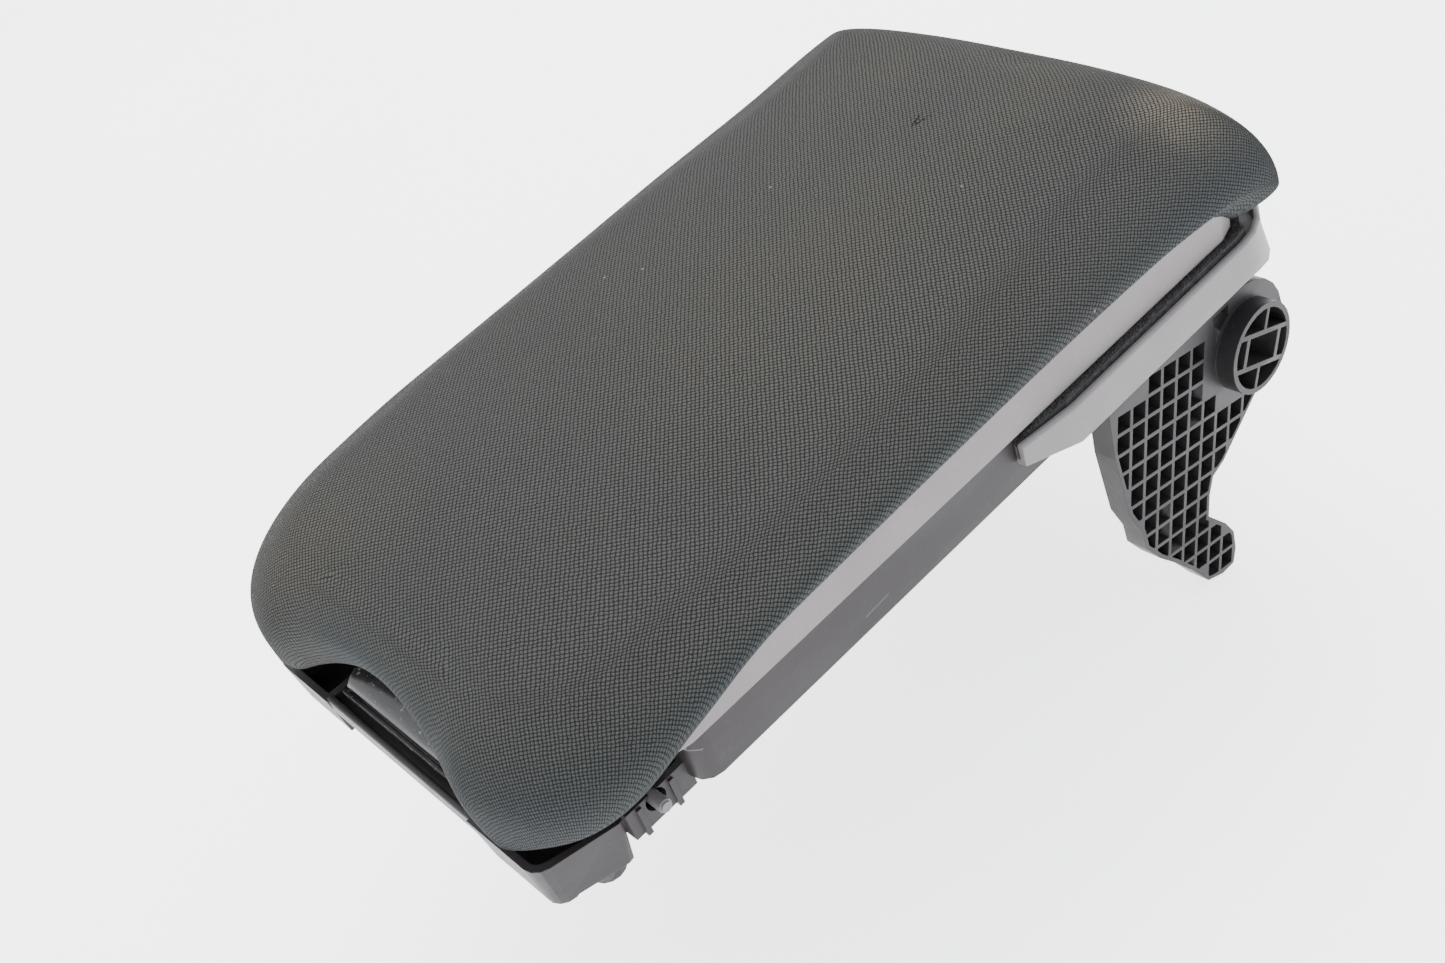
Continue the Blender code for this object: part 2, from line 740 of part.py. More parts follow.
def make_base():
    """The tray with its stepped nose, corner blocks, lip, latch bearings and screw bosses."""
    solids = [prism(tray_outline(0.0), "z", above_base(0), above_base(BASE_HEIGHT))]
    nose_back = TRAY_START + BASE_WALL / 2
    solids.append(
        box(
            (-NOSE_HALF_WIDTH, NOSE_HALF_WIDTH),
            (from_front(NOSE_START), from_front(nose_back)),
            (above_base(-NOSE_DROP), above_base(NOSE_HEIGHT)),
        )
    )
    for _, side in SIDES:
        solids.append(corner_block(side))
        solids += block_lobes(side)
        solids += nose_ribs(side)
    lip = rounded_outline(
        [
            (from_front(LIP_FRONT), above_base(-LIP_DROP), 0.0, 1),
            (from_front(NOSE_START) + JOIN, above_base(-LIP_DROP), 0.0, 1),
            (from_front(NOSE_START) + JOIN, above_base(-LIP_DROP + LIP_FLOOR), 0.0, 1),
            (from_front(LIP_FRONT + LIP_THICKNESS), above_base(-LIP_DROP + LIP_FLOOR), 0.0, 1),
            (from_front(LIP_FRONT + LIP_THICKNESS), above_base(LIP_RISE), LIP_ROUND, 3),
            (from_front(LIP_FRONT), above_base(LIP_RISE), LIP_ROUND, 3),
        ]
    )
    solids.append(prism(lip, "x", -BLOCK_INNER - JOIN, BLOCK_INNER + JOIN))

    cutters = [
        prism(tray_outline(BASE_WALL), "z", above_base(BASE_FLOOR), above_base(BASE_HEIGHT) + OVERSHOOT),
        box(
            (-NOSE_HALF_WIDTH + NOSE_WALL, NOSE_HALF_WIDTH - NOSE_WALL),
            (from_front(BLOCK_REAR + NOSE_WALL / 2), from_front(TRAY_START) - JOIN),
            (above_base(-NOSE_DROP + NOSE_FLOOR), above_base(NOSE_HEIGHT) + OVERSHOOT),
        ),
        box(
            (-LEVER_HALF_WIDTH - RUNNING_GAP, LEVER_HALF_WIDTH + RUNNING_GAP),
            (from_front(NOSE_START) - JOIN, from_front(BLOCK_REAR + NOSE_WALL)),
            (above_base(-LIP_DROP + LIP_FLOOR) + JOIN / 2, above_base(NOSE_HEIGHT) + OVERSHOOT),
        ),
    ]
    for _, side in SIDES:
        outline = block_outline(side, BLOCK_WALL)
        low = above_base(-BLOCK_DROP + BLOCK_WALL)
        cutters.append(prism(outline, "z", low, above_base(NOSE_HEIGHT) + OVERSHOOT))

    extra = []
    holes = []
    pivot = (from_front(PIVOT_FROM_FRONT), above_base(PIVOT_HEIGHT))
    bolt = (from_front(BOLT_FROM_FRONT), above_base(BOLT_HEIGHT))
    for _, side in SIDES:
        ear = sorted((side * (BLOCK_INNER + JOIN / 3), side * (BLOCK_INNER + EAR_THICKNESS)))
        extra.append(
            box(
                ear,
                (pivot[0] - EAR_HALF_LENGTH, pivot[0] + EAR_HALF_LENGTH),
                (above_base(-LIP_DROP) + JOIN, above_base(EAR_TOP)),
            )
        )
        for place in GUIDE_PLACES:
            guide = sorted((side * place, side * (place + GUIDE_THICKNESS)))
            extra.append(
                box(
                    guide,
                    (from_front(BLOCK_REAR), from_front(TRAY_START) + JOIN),
                    (above_base(-NOSE_DROP + NOSE_FLOOR / 2), above_base(NOSE_HEIGHT) - JOIN),
                )
            )
        wall = NOSE_HALF_WIDTH - NOSE_WALL
        inner = sorted((side * (GUIDE_PLACES[0] - OVERSHOOT), side * (wall - GAP)))
        holes.append(prism(disc_outline(bolt, BOLT_RADIUS + BEARING_GAP, 16), "x", *inner))
        outer = sorted((side * (wall - OVERSHOOT / 2), side * (NOSE_HALF_WIDTH + OVERSHOOT)))
        holes.append(prism(disc_outline(bolt, BOLT_HOLE_RADIUS, 20), "x", *outer))
        for x, y in arm_screw_places():
            center = (side * x, y)
            boss = disc_outline(center, SCREW_BOSS_RADIUS, 12)
            boss_top = above_base(SCREW_BOSS_HEIGHT)
            extra.append(prism(boss, "z", above_base(BASE_FLOOR / 2), boss_top))
            pilot = disc_outline(center, SCREW_RADIUS + GAP, 10)
            holes.append(prism(pilot, "z", above_base(-OVERSHOOT), boss_top + OVERSHOOT))
        for y in RAIL_SCREWS:
            center = (side * RAIL_OFFSET, from_front(y))
            pilot = disc_outline(center, SCREW_RADIUS + GAP, 10)
            holes.append(prism(pilot, "z", above_base(-OVERSHOOT), above_base(BASE_FLOOR) + OVERSHOOT))
    pin_hole = disc_outline(pivot, PIVOT_RADIUS + GAP, 12)
    reach = BLOCK_INNER + EAR_THICKNESS + OVERSHOOT
    holes.append(prism(pin_hole, "x", -reach, reach))
    base = combine("lid_base", solids, cutters, extra, holes)
    smooth(base)
    dress(base, "base_plastic")


def collar_path():
    """Stations along the right half of the collar, from its front end to the middle of the rear.

    Each is (x, y, outward x, outward y, distance along the path).
    """
    inner = BASE_HALF_WIDTH + GAP
    rear = from_front(BASE_LENGTH) + GAP
    radius = TRAY_REAR_RADIUS + GAP
    start = from_front(BASE_LENGTH - COLLAR_LENGTH)
    stations = []
    straight = rear - radius - start
    steps = (0.0, COLLAR_TAPER / 2, COLLAR_TAPER, straight * 0.5, straight * 0.8)
    for along in steps:
        stations.append((inner, start + along, 1.0, 0.0, along))
    for i in range(7):
        a = pi / 2 * i / 6
        x = inner - radius + radius * cos(a)
        y = rear - radius + radius * sin(a)
        stations.append((x, y, cos(a), sin(a), straight + radius * a))
    length = straight + radius * pi / 2
    across = inner - radius
    for i in (1, 2):
        stations.append((across * (1 - i / 2), rear, 0.0, 1.0, length + across * i / 2))
    return stations


def collar_width(along):
    """How far the collar reaches out from the tray, with its taper at the front end."""
    taper = min(1.0, along / COLLAR_TAPER)
    return COLLAR_TAPER_WIDTH + (COLLAR_WIDTH - COLLAR_TAPER_WIDTH) * taper


def collar_section(along, straight):
    """Section of the collar as (outward, height), with its front taper and its rear flare."""
    taper = min(1.0, along / COLLAR_TAPER)
    width = collar_width(along)
    flare = max(0.0, min(1.0, (along - straight) / TRAY_REAR_RADIUS))
    flare = flare * flare * (3 - 2 * flare)
    bottom = COLLAR_BOTTOM - COLLAR_FLARE_DROP * flare + COLLAR_FRONT_RISE * (1 - taper)
    low_width = width + COLLAR_FLARE * flare
    lip = width - COLLAR_SHEET
    low_lip = low_width - COLLAR_SHEET
    ledge_low = COLLAR_LEDGE - COLLAR_SHEET
    return [
        (0.0, ledge_low),
        (lip, ledge_low),
        (low_lip, bottom),
        (low_width, bottom),
        (width, COLLAR_LEDGE),
        (width, COLLAR_TOP - COLLAR_EDGE),
        (width - COLLAR_EDGE, COLLAR_TOP),
        (lip, COLLAR_TOP),
        (lip, COLLAR_LEDGE),
        (0.0, COLLAR_LEDGE),
    ]


def sweep(stations, section_of):
    """Rings of a section along the whole path, left end to right end."""
    right = []
    for x, y, nx, ny, along in stations:
        right.append([(x + nx * o, y + ny * o, above_base(z)) for o, z in section_of(along)])
    left = [[(-x, y, z) for x, y, z in ring] for ring in right[:-1]]
    return left + right[::-1]


def make_collar():
    """The light collar round the rear of the tray, with a ledge for the pile strips."""
    stations = collar_path()
    straight = stations[5][4]
    rings = sweep(stations, lambda along: collar_section(along, straight))
    collar = loft("rear_collar", rings)
    smooth(collar, 30)
    dress(collar, "collar_plastic")


def make_pile_strips():
    """A bristly strip on each side ledge, which closes the gap to the armrest."""
    stations = [s for s in collar_path() if s[1] < from_front(BASE_LENGTH) - TRAY_REAR_RADIUS / 2]
    low = COLLAR_LEDGE + GAP
    for name, side in SIDES:
        rings = []
        for i, (x, y, nx, ny, along) in enumerate(stations):
            width = min(PILE_WIDTH, collar_width(along) - COLLAR_SHEET - 2 * GAP)
            top = low + PILE_HEIGHT * (PILE_END_SHARE if i == 0 else 1.0)
            tip = GAP + width * PILE_TOP_SHARE
            section = [(GAP, low), (GAP + width, low), (tip, top), (GAP, top)]
            ring = [(side * (x + nx * o), y + ny * o, above_base(z)) for o, z in section]
            rings.append(ring)
        strip = loft("pile_strip_" + name, rings)
        dress(strip, "pile")


def clip_convex(polygon, window):
    """The part of a polygon inside a convex, counter-clockwise window."""
    out = list(polygon)
    count = len(window)
    for i in range(count):
        ax, ay = window[i]
        bx, by = window[(i + 1) % count]

        def side_of(p):
            return (bx - ax) * (p[1] - ay) - (by - ay) * (p[0] - ax)

        source = out
        out = []
        for j, p in enumerate(source):
            q = source[j - 1]
            sp = side_of(p)
            sq = side_of(q)
            if (sp >= 0) != (sq >= 0):
                t = sq / (sq - sp)
                out.append((q[0] + t * (p[0] - q[0]), q[1] + t * (p[1] - q[1])))
            if sp >= 0:
                out.append(p)
        if not out:
            return []
    return out


def polygon_area(polygon):
    """Signed area of a polygon."""
    total = 0.0
    for i, (x, y) in enumerate(polygon):
        px, py = polygon[i - 1]
        total += px * y - x * py
    return total / 2


def clean_polygon(polygon, least):
    """Drops points that lie closer together than least."""
    out = []
    for p in polygon:
        if not out or hypot(p[0] - out[-1][0], p[1] - out[-1][1]) > least:
            out.append(p)
    while len(out) > 2 and hypot(out[0][0] - out[-1][0], out[0][1] - out[-1][1]) <= least:
        out.pop()
    return out


def inset_polygon(polygon, distance):
    """Moves each side of a counter-clockwise polygon inwards."""
    count = len(polygon)
    out = []
    for i in range(count):
        p = Vector(polygon[i])
        a = (p - Vector(polygon[i - 1])).normalized()
        b = (Vector(polygon[(i + 1) % count]) - p).normalized()
        na = Vector((-a.y, a.x))
        nb = Vector((-b.y, b.x))
        middle = (na + nb).normalized()
        out.append(tuple(p + middle * distance / max(MITRE_LIMIT, middle.dot(na))))
    return out


def arm_outline():
    """Side view of a hinge arm as (y, z), counter-clockwise seen from +X."""
    top = above_base(0) - GAP
    points = [(ARM_FRONT, top)]
    points += list(ARM_OUTLINE)
    steps = 10
    for i in range(steps + 1):
        a = BOSS_DISC_START + (BOSS_DISC_END - BOSS_DISC_START) * i / steps
        points.append((BOSS_DISC_RADIUS * cos(a), BOSS_DISC_RADIUS * sin(a)))
    points.append((ARM_TOP_END, top))
    return points


def lattice_cells(outline):
    """Square pockets of the lattice, clipped to the arm's outline and kept off the boss."""
    inner = inset_polygon(outline, ARM_RIM)
    down = Vector((-sin(LATTICE_ANGLE), -cos(LATTICE_ANGLE)))
    along = Vector((cos(LATTICE_ANGLE), -sin(LATTICE_ANGLE)))
    node = Vector(LATTICE_NODE)
    half = (LATTICE_PITCH - ARM_RIB) / 2
    least = (LEAST_CELL * LATTICE_PITCH) ** 2
    keep_out = BOSS_DISC_RADIUS - ARM_RIM
    cells = []
    span = range(-ceil(LATTICE_REACH / LATTICE_PITCH), ceil(LATTICE_REACH / LATTICE_PITCH))
    for i in span:
        for j in span:
            center = node + (i + 0.5) * LATTICE_PITCH * down + (j + 0.5) * LATTICE_PITCH * along
            corners = [
                center + half * (-down - along),
                center + half * (down - along),
                center + half * (down + along),
                center + half * (-down + along),
            ]
            window = [tuple(c) for c in corners]
            if polygon_area(window) < 0:
                window.reverse()
            cell = clean_polygon(clip_convex(inner, window), POINT_MERGE)
            if len(cell) < 3 or polygon_area(cell) < least:
                continue
            if center.y > lattice_limit(center.x):
                continue
            if center.length < keep_out:
                continue
            cells.append(cell)
    return cells


def lattice_limit(y):
    """Height above which the lattice gives way to the smooth pocket and to the flange."""
    if y > POCKET_START:
        return POCKET_TOP + POCKET_SLOPE * (y - POCKET_START)
    return LATTICE_TOP


def smooth_pocket():
    """The hollow between the lattice and the boss, as a (y, z) outline."""
    radius = BOSS_RADIUS + ARM_RIB
    left = -BOSS_RADIUS + ARM_RIM
    top = BOSS_DISC_RADIUS - ARM_RIM
    first = pi - acos(-left / radius)
    last = first - POCKET_SPAN
    steps = 5
    points = [(left, top)]
    for i in range(steps):
        a = first + (last - first) * i / (steps - 1)
        points.append((radius * cos(a), radius * sin(a)))
    points.append((points[-1][0], top))
    return points


def boss_pockets():
    """Hollows between the boss's ring and the frame of its socket, as (y, z) outlines."""
    turn = Matrix.Rotation(SOCKET_ANGLE, 2)
    ring = disc_outline((0.0, 0.0), BOSS_RADIUS - BOSS_RIM, 28)
    width = SOCKET_WIDTH / 2
    height = SOCKET_HEIGHT / 2
    far = BOSS_RADIUS
    half_rib = ARM_RIB / 2
    windows = [
        ((half_rib, height + SOCKET_WALL), (far, far)),
        ((-far, height + SOCKET_WALL), (-half_rib, far)),
        ((half_rib, -far), (far, -height - SOCKET_WALL)),
        ((-far, -far), (-half_rib, -height - SOCKET_WALL)),
        ((width + SOCKET_WALL, -height), (far, height)),
        ((-far, -height), (-width - SOCKET_WALL, height)),
    ]
    pockets = []
    for (u0, v0), (u1, v1) in windows:
        window = [(u0, v0), (u1, v0), (u1, v1), (u0, v1)]
        cell = clean_polygon(clip_convex(ring, window), POINT_MERGE)
        if len(cell) >= 3:
            pockets.append([tuple(turn @ Vector(p)) for p in cell])
    return pockets


def make_arms():
    """Ribbed hinge arms: a plate with a lattice of pockets, a socketed boss and a screw flange."""
    outline = arm_outline()
    inner = ARM_OUTER - ARM_THICKNESS
    plate = prism(outline, "x", inner, ARM_OUTER)
    boss = prism(disc_outline((0.0, 0.0), BOSS_RADIUS, 36), "x", inner + JOIN, BOSS_OUTER)
    top = above_base(0) - GAP
    flange = box(
        (inner - FLANGE_WIDTH, inner + JOIN),
        (ARM_FRONT, ARM_TOP_END + JOIN),
        (top - FLANGE_THICKNESS, top),
    )
    floor_x = inner + ARM_WEB
    cutters = [prism(cell, "x", floor_x, ARM_OUTER + OVERSHOOT) for cell in lattice_cells(outline)]
    cutters.append(prism(smooth_pocket(), "x", floor_x, ARM_OUTER + OVERSHOOT))
    for cell in boss_pockets():
        cutters.append(prism(cell, "x", floor_x, BOSS_OUTER + OVERSHOOT))
    turn = Matrix.Rotation(SOCKET_ANGLE, 2)
    half = (SOCKET_WIDTH / 2, SOCKET_HEIGHT / 2)
    corners = [(-half[0], -half[1]), (half[0], -half[1]), (half[0], half[1]), (-half[0], half[1])]
    socket = [tuple(turn @ Vector(c)) for c in corners]
    cutters.append(prism(socket, "x", inner - OVERSHOOT, BOSS_OUTER + OVERSHOOT))
    for x, y in arm_screw_places():
        hole = disc_outline((x, y), SCREW_RADIUS + GAP, 12)
        cutters.append(prism(hole, "z", top - FLANGE_THICKNESS - OVERSHOOT, top + OVERSHOOT))
    right = combine("hinge_arm_right", [plate, boss, flange], cutters)
    left = mirrored(right, "hinge_arm_left")
    for arm in (left, right):
        smooth(arm, 30)
        dress(arm, "arm_plastic")


def screw(name, x, y, seat, length, up):
    """A pan-head screw. The seat is the height of the face under its head."""
    direction = 1.0 if up else -1.0
    profile = [
        (0.0, seat - direction * SCREW_HEAD_HEIGHT),
        (SCREW_HEAD_RADIUS * SCREW_HEAD_FLAT, seat - direction * SCREW_HEAD_HEIGHT),
        (SCREW_HEAD_RADIUS, seat - direction * SCREW_HEAD_HEIGHT * SCREW_HEAD_RIM),
        (SCREW_HEAD_RADIUS, seat),
        (SCREW_RADIUS, seat),
        (SCREW_RADIUS, seat + direction * (length - SCREW_RADIUS)),
        (0.0, seat + direction * length),
    ]
    bm = bmesh.new()
    count = 10
    rings = []
    for radius, z in profile:
        if radius == 0.0:
            rings.append([bm.verts.new((x, y, z))])
            continue
        ring = []
        for i in range(count):
            a = 2 * pi * i / count
            ring.append(bm.verts.new((x + radius * cos(a), y + radius * sin(a), z)))
        rings.append(ring)
    for first, second in zip(rings, rings[1:]):
        for i in range(count):
            j = (i + 1) % count
            if len(first) == 1:
                bm.faces.new((first[0], second[i], second[j]))
            elif len(second) == 1:
                bm.faces.new((first[i], first[j], second[0]))
            else:
                bm.faces.new((first[i], first[j], second[j], second[i]))
    made = new_object(name, bm)
    smooth(made)
    dress(made, "steel")
    return made


def make_arm_screws():
    """Two screws hold each hinge arm under the tray."""
    seat = above_base(0) - GAP - FLANGE_THICKNESS - GAP
    for name, side in SIDES:
        for label, (x, y) in zip(("front", "rear"), arm_screw_places()):
            screw(f"arm_screw_{name}_{label}", side * x, y, seat, SCREW_LENGTH, True)


def rail_section():
    """Section of a slide rail as (x, z) round its own centre line: an open channel with lips."""
    w = RAIL_WIDTH / 2
    s = RAIL_SLOT / 2
    t = RAIL_SHEET
    h = RAIL_HEIGHT
    return [
        (-w, 0),
        (w, 0),
        (w, h),
        (s, h),
        (s, h - t),
        (w - t, h - t),
        (w - t, t),
        (-w + t, t),
        (-w + t, h - t),
        (-s, h - t),
        (-s, h),
        (-w, h),
    ]


def make_rails():
    """Two steel channels on the tray's floor, with rubber buffers at their ends."""
    for name, side in SIDES:
        center = side * RAIL_OFFSET
        outline = [(center + x, above_base(RAIL_BOTTOM + z)) for x, z in rail_section()]
        channel = prism(outline, "y", from_front(RAIL_FRONT), from_front(RAIL_REAR))
        holes = []
        for y in RAIL_SCREWS:
            hole = disc_outline((center, from_front(y)), SCREW_RADIUS + GAP, 10)
            low = above_base(RAIL_BOTTOM) - OVERSHOOT
            holes.append(prism(hole, "z", low, above_base(RAIL_BOTTOM + RAIL_SHEET) + OVERSHOOT))
        rail = combine("slide_rail_" + name, [channel], holes)
        dress(rail, "steel")
        seat = above_base(RAIL_BOTTOM + RAIL_SHEET) + GAP
        for label, y in zip(("front", "rear"), RAIL_SCREWS):
            screw_name = f"rail_screw_{name}_{label}"
            screw(screw_name, center, from_front(y), seat, RAIL_SCREW_LENGTH, False)
        inner = RAIL_WIDTH / 2 - RAIL_SHEET - GAP
        low = above_base(RAIL_BOTTOM + RAIL_SHEET) + GAP
        high = above_base(RAIL_BOTTOM + RAIL_HEIGHT - RAIL_SHEET) - GAP
        for label, start in (("front", BUFFER_FRONT), ("rear", BUFFER_REAR)):
            y = (from_front(start), from_front(start + BUFFER_LENGTH))
            buffer = box((center - inner, center + inner), y, (low, high))
            buffer.name = f"slide_buffer_{name}_{label}"
            dress(buffer, "rubber")


def shoe_section():
    """Section of a slide shoe as (x, z): a wide foot in the channel and a neck up to the shell."""
    foot = RAIL_WIDTH / 2 - RAIL_SHEET - RUNNING_GAP
    neck = SHOE_NECK / 2
    low = RAIL_BOTTOM + RAIL_HEIGHT - RAIL_SHEET - RUNNING_GAP - SHOE_HEIGHT
    shoulder = RAIL_BOTTOM + RAIL_HEIGHT - RAIL_SHEET - RUNNING_GAP
    top = SHELL_BOTTOM - GAP
    return [
        (-foot, low),
        (foot, low),
        (foot, shoulder),
        (neck, shoulder),
        (neck, top),
        (-neck, top),
        (-neck, shoulder),
        (-foot, shoulder),
    ]


def make_shoes():
    """Four plastic shoes that run in the rails, each with its screw through the shell."""
    for name, side in SIDES:
        center = side * RAIL_OFFSET
        for label, place in (("front", SHOE_FRONT), ("rear", SHOE_REAR)):
            outline = [(center + x, above_base(z)) for x, z in shoe_section()]
            low = from_front(place - SHOE_LENGTH / 2)
            body = prism(outline, "y", low, low + SHOE_LENGTH)
            hole = disc_outline((center, from_front(place)), SCREW_RADIUS + GAP, 10)
            depth = above_base(SHELL_TOP) - SHOE_SCREW_LENGTH - RUNNING_GAP
            pilot = prism(hole, "z", depth, above_base(SHELL_BOTTOM) + OVERSHOOT)
            shoe = combine(f"slide_shoe_{name}_{label}", [body], [pilot])
            dress(shoe, "shoe_plastic")
            seat = above_base(SHELL_TOP) - SCREW_HEAD_HEIGHT + GAP
            screw_name = f"shoe_screw_{name}_{label}"
            length = SHOE_SCREW_LENGTH - SCREW_HEAD_HEIGHT
            screw(screw_name, center, from_front(place), seat, length, False)


def make_shell():
    """The armrest shell: a plate with an upstanding rim, whose outside is the light band."""
    rings = []
    bottom = shell_outline(SHELL_CHAMFER)
    edge = shell_outline(0.0)
    inside = shell_outline(SHELL_WALL)
    count = len(edge)
    rings.append(closed_ring(bottom, [SHELL_BOTTOM] * count))
    rings.append(closed_ring(edge, [SHELL_BOTTOM + SHELL_CHAMFER] * count))
    rings.append(closed_ring(edge, band_heights(edge)))
    rings.append(closed_ring(inside, band_heights(edge)))
    rings.append(closed_ring(inside, [SHELL_TOP] * count))
    shell = loft("armrest_shell_blank", rings)
    holes = []
    for _, side in SIDES:
        for place in (SHOE_FRONT, SHOE_REAR):
            center = (side * RAIL_OFFSET, from_front(place))
            top = above_base(SHELL_TOP)
            shank = disc_outline(center, SCREW_RADIUS + GAP, 10)
            holes.append(prism(shank, "z", above_base(SHELL_BOTTOM) - OVERSHOOT, top + OVERSHOOT))
            head = disc_outline(center, SCREW_HEAD_RADIUS + GAP, 10)
            holes.append(prism(head, "z", top - SCREW_HEAD_HEIGHT, top + OVERSHOOT))
    shell = combine("armrest_shell", [shell], holes)
    smooth(shell, 30)
    dress(shell, "band_plastic")


def make_foam():
    """The foam pad, which fills the cover and hooks over the shell's rim."""
    inset = COVER_THICKNESS + FOAM_GAP
    outer = cushion_rings(inset)
    _, hem_heights = hem_outline(inset)
    around = shell_outline(-RUNNING_GAP)
    rim = shell_outline(0.0)
    inside = shell_outline(SHELL_WALL + RUNNING_GAP)
    count = len(rim)
    rim_top = band_heights(rim, RUNNING_GAP)
    shelf = [min(low + inset, top) for low, top in zip(hem_heights, rim_top)]
    rings = [
        closed_ring(inside, [SHELL_TOP + RUNNING_GAP] * count),
        closed_ring(inside, rim_top),
        closed_ring(around, rim_top),
        closed_ring(around, shelf),
    ]
    foam = loft("armrest_foam", rings + outer)
    smooth(foam, 40)
    dress(foam, "foam")


def make_cover():
    """The knitted cover: one skin from its hem over the crown, open underneath."""
    outer = cushion_rings(0.0)
    inner = cushion_rings(COVER_THICKNESS)
    bm = bmesh.new()
    skins = []
    for rings in (outer, inner):
        loops = [[bm.verts.new(point) for point in ring] for ring in rings]
        bm.faces.new(loops[-1])
        for first, second in zip(loops, loops[1:]):
            skin(bm, first, second)
        skins.append(loops)
    skin(bm, skins[0][0], skins[1][0])
    cover = new_object("armrest_cover", bm)
    smooth(cover, 50)
    dress(cover, "knit_fabric")


def make_lever():
    """The latch lever: a finger paddle, two bearing barrels and a web with a cam slot per bolt."""
    y = from_front
    z = above_base
    half = LEVER_HALF_WIDTH
    top = LEVER_HEIGHT
    under = top - LEVER_SKIN
    strip_under = LEVER_STRIP_HEIGHT - LEVER_SKIN
    groove = LEVER_FRONT + LEVER_STRIP_LENGTH
    groove_floor = LEVER_STRIP_HEIGHT - LEVER_GROOVE
    groove_end = groove + LEVER_GROOVE_WIDTH
    skin = [(y(LEVER_FRONT), z(strip_under)), (y(groove_end + LEVER_GROOVE_WIDTH), z(strip_under))]
    skin += [(y(LEVER_FRONT + along), z(under - drop)) for along, drop in LEVER_UNDER_CURVE]
    skin += [(y(LEVER_BACK), z(under)), (y(LEVER_BACK), z(top))]
    skin += [(y(LEVER_FRONT + along), z(top - drop)) for along, drop in LEVER_TOP_CURVE]
    skin += [
        (y(groove_end), z(LEVER_STRIP_HEIGHT + LEVER_STRIP_CHAMFER)),
        (y(groove_end), z(groove_floor)),
        (y(groove), z(groove_floor)),
        (y(groove - LEVER_STRIP_CHAMFER), z(LEVER_STRIP_HEIGHT)),
        (y(LEVER_FRONT), z(LEVER_STRIP_HEIGHT)),
    ]
    pivot = (y(PIVOT_FROM_FRONT), z(PIVOT_HEIGHT))
    web_y = (y(BOLT_FROM_FRONT) - WEB_THICKNESS / 2, y(BOLT_FROM_FRONT) + WEB_THICKNESS / 2)
    solids = [prism(skin, "x", -half, half)]
    holes = []
    for _, side in SIDES:
        span = sorted((side * BARREL_INNER, side * BARREL_OUTER))
        inner_span = sorted((side * BARREL_INNER, side * (half - RUNNING_GAP)))
        solids.append(prism(disc_outline(pivot, BARREL_RADIUS, 18), "x", *span))
        strut = (pivot[0] - WEB_THICKNESS / 2, pivot[0] + WEB_THICKNESS / 2)
        solids.append(box(inner_span, strut, (pivot[1], z(top - LEVER_SKIN / 2))))
        tail_span = sorted((side * WEB_INNER, side * (half - RUNNING_GAP)))
        tail_y = (strut[0] + JOIN, web_y[1] - JOIN / 2)
        solids.append(box(tail_span, tail_y, (z(WEB_TOP - WEB_THICKNESS), z(WEB_TOP) - JOIN / 3)))
        solids.append(box(tail_span, web_y, (z(WEB_BOTTOM), z(WEB_TOP))))
        rise = LEVER_ANGLE * (BOLT_FROM_FRONT - PIVOT_FROM_FRONT)
        slope = Vector((BOLT_TRAVEL, rise)).normalized()
        normal = Vector((-slope.y, slope.x))
        peg = Vector((PEG_OFFSET, z(BOLT_HEIGHT)))
        width = PEG_RADIUS + SLOT_CLEARANCE
        start = peg + slope * width
        end = peg - slope * (BOLT_TRAVEL * SLOT_REACH)
        across = normal * width
        slot = [start + across, start - across, end - across, end + across]
        outline = [(side * p.x, p.y) for p in slot]
        holes.append(prism(outline, "y", web_y[0] - OVERSHOOT, web_y[1] + OVERSHOOT))
    bore = BARREL_OUTER + OVERSHOOT
    holes.append(prism(disc_outline(pivot, BARREL_HOLE, 14), "x", -bore, bore))
    lever = combine("latch_lever", solids, holes)
    smooth(lever, 30)
    dress(lever, "latch_plastic")
    set_origin(lever, 0.0, *pivot)


def make_pivot():
    """The steel pin that the latch lever turns on."""
    pivot = (from_front(PIVOT_FROM_FRONT), above_base(PIVOT_HEIGHT))
    reach = BLOCK_INNER + EAR_THICKNESS
    pin = prism(disc_outline(pivot, PIVOT_RADIUS, 12), "x", -reach, reach)
    pin.name = "latch_pivot_pin"
    smooth(pin)
    dress(pin, "steel")


def make_spring():
    """The torsion spring round the pivot: one leg on the nose floor, one under the paddle."""
    pivot = Vector((0.0, from_front(PIVOT_FROM_FRONT), above_base(PIVOT_HEIGHT)))
    radius = PIVOT_RADIUS + GAP + SPRING_WIRE
    steps = 12 * SPRING_TURNS
    span = SPRING_PITCH * SPRING_TURNS
    points = []
    rear_leg = pivot + Vector((-span / 2, SPRING_REAR_LEG, GAP - radius))
    points.append(rear_leg)
    for i in range(steps + 1):
        a = -pi / 2 - 2 * pi * i / 12
        points.append(pivot + Vector((-span / 2 + span * i / steps, radius * cos(a), radius * sin(a))))
    rise = LEVER_STRIP_HEIGHT - LEVER_SKIN - PIVOT_HEIGHT - SPRING_WIRE - RUNNING_GAP
    front_leg = pivot + Vector((span / 2, -SPRING_FRONT_LEG, rise))
    points.append(front_leg)
    curve = bpy.data.curves.new("latch_spring", "CURVE")
    curve.dimensions = "3D"
    curve.bevel_depth = SPRING_WIRE / 2
    curve.bevel_resolution = 1
    curve.use_fill_caps = True
    spline = curve.splines.new("POLY")
    spline.points.add(len(points) - 1)
    for point, place in zip(spline.points, points):
        point.co = (*place, 1.0)
    spring = bpy.data.objects.new("latch_spring", curve)
    bpy.context.scene.collection.objects.link(spring)
    dress(spring, "steel")


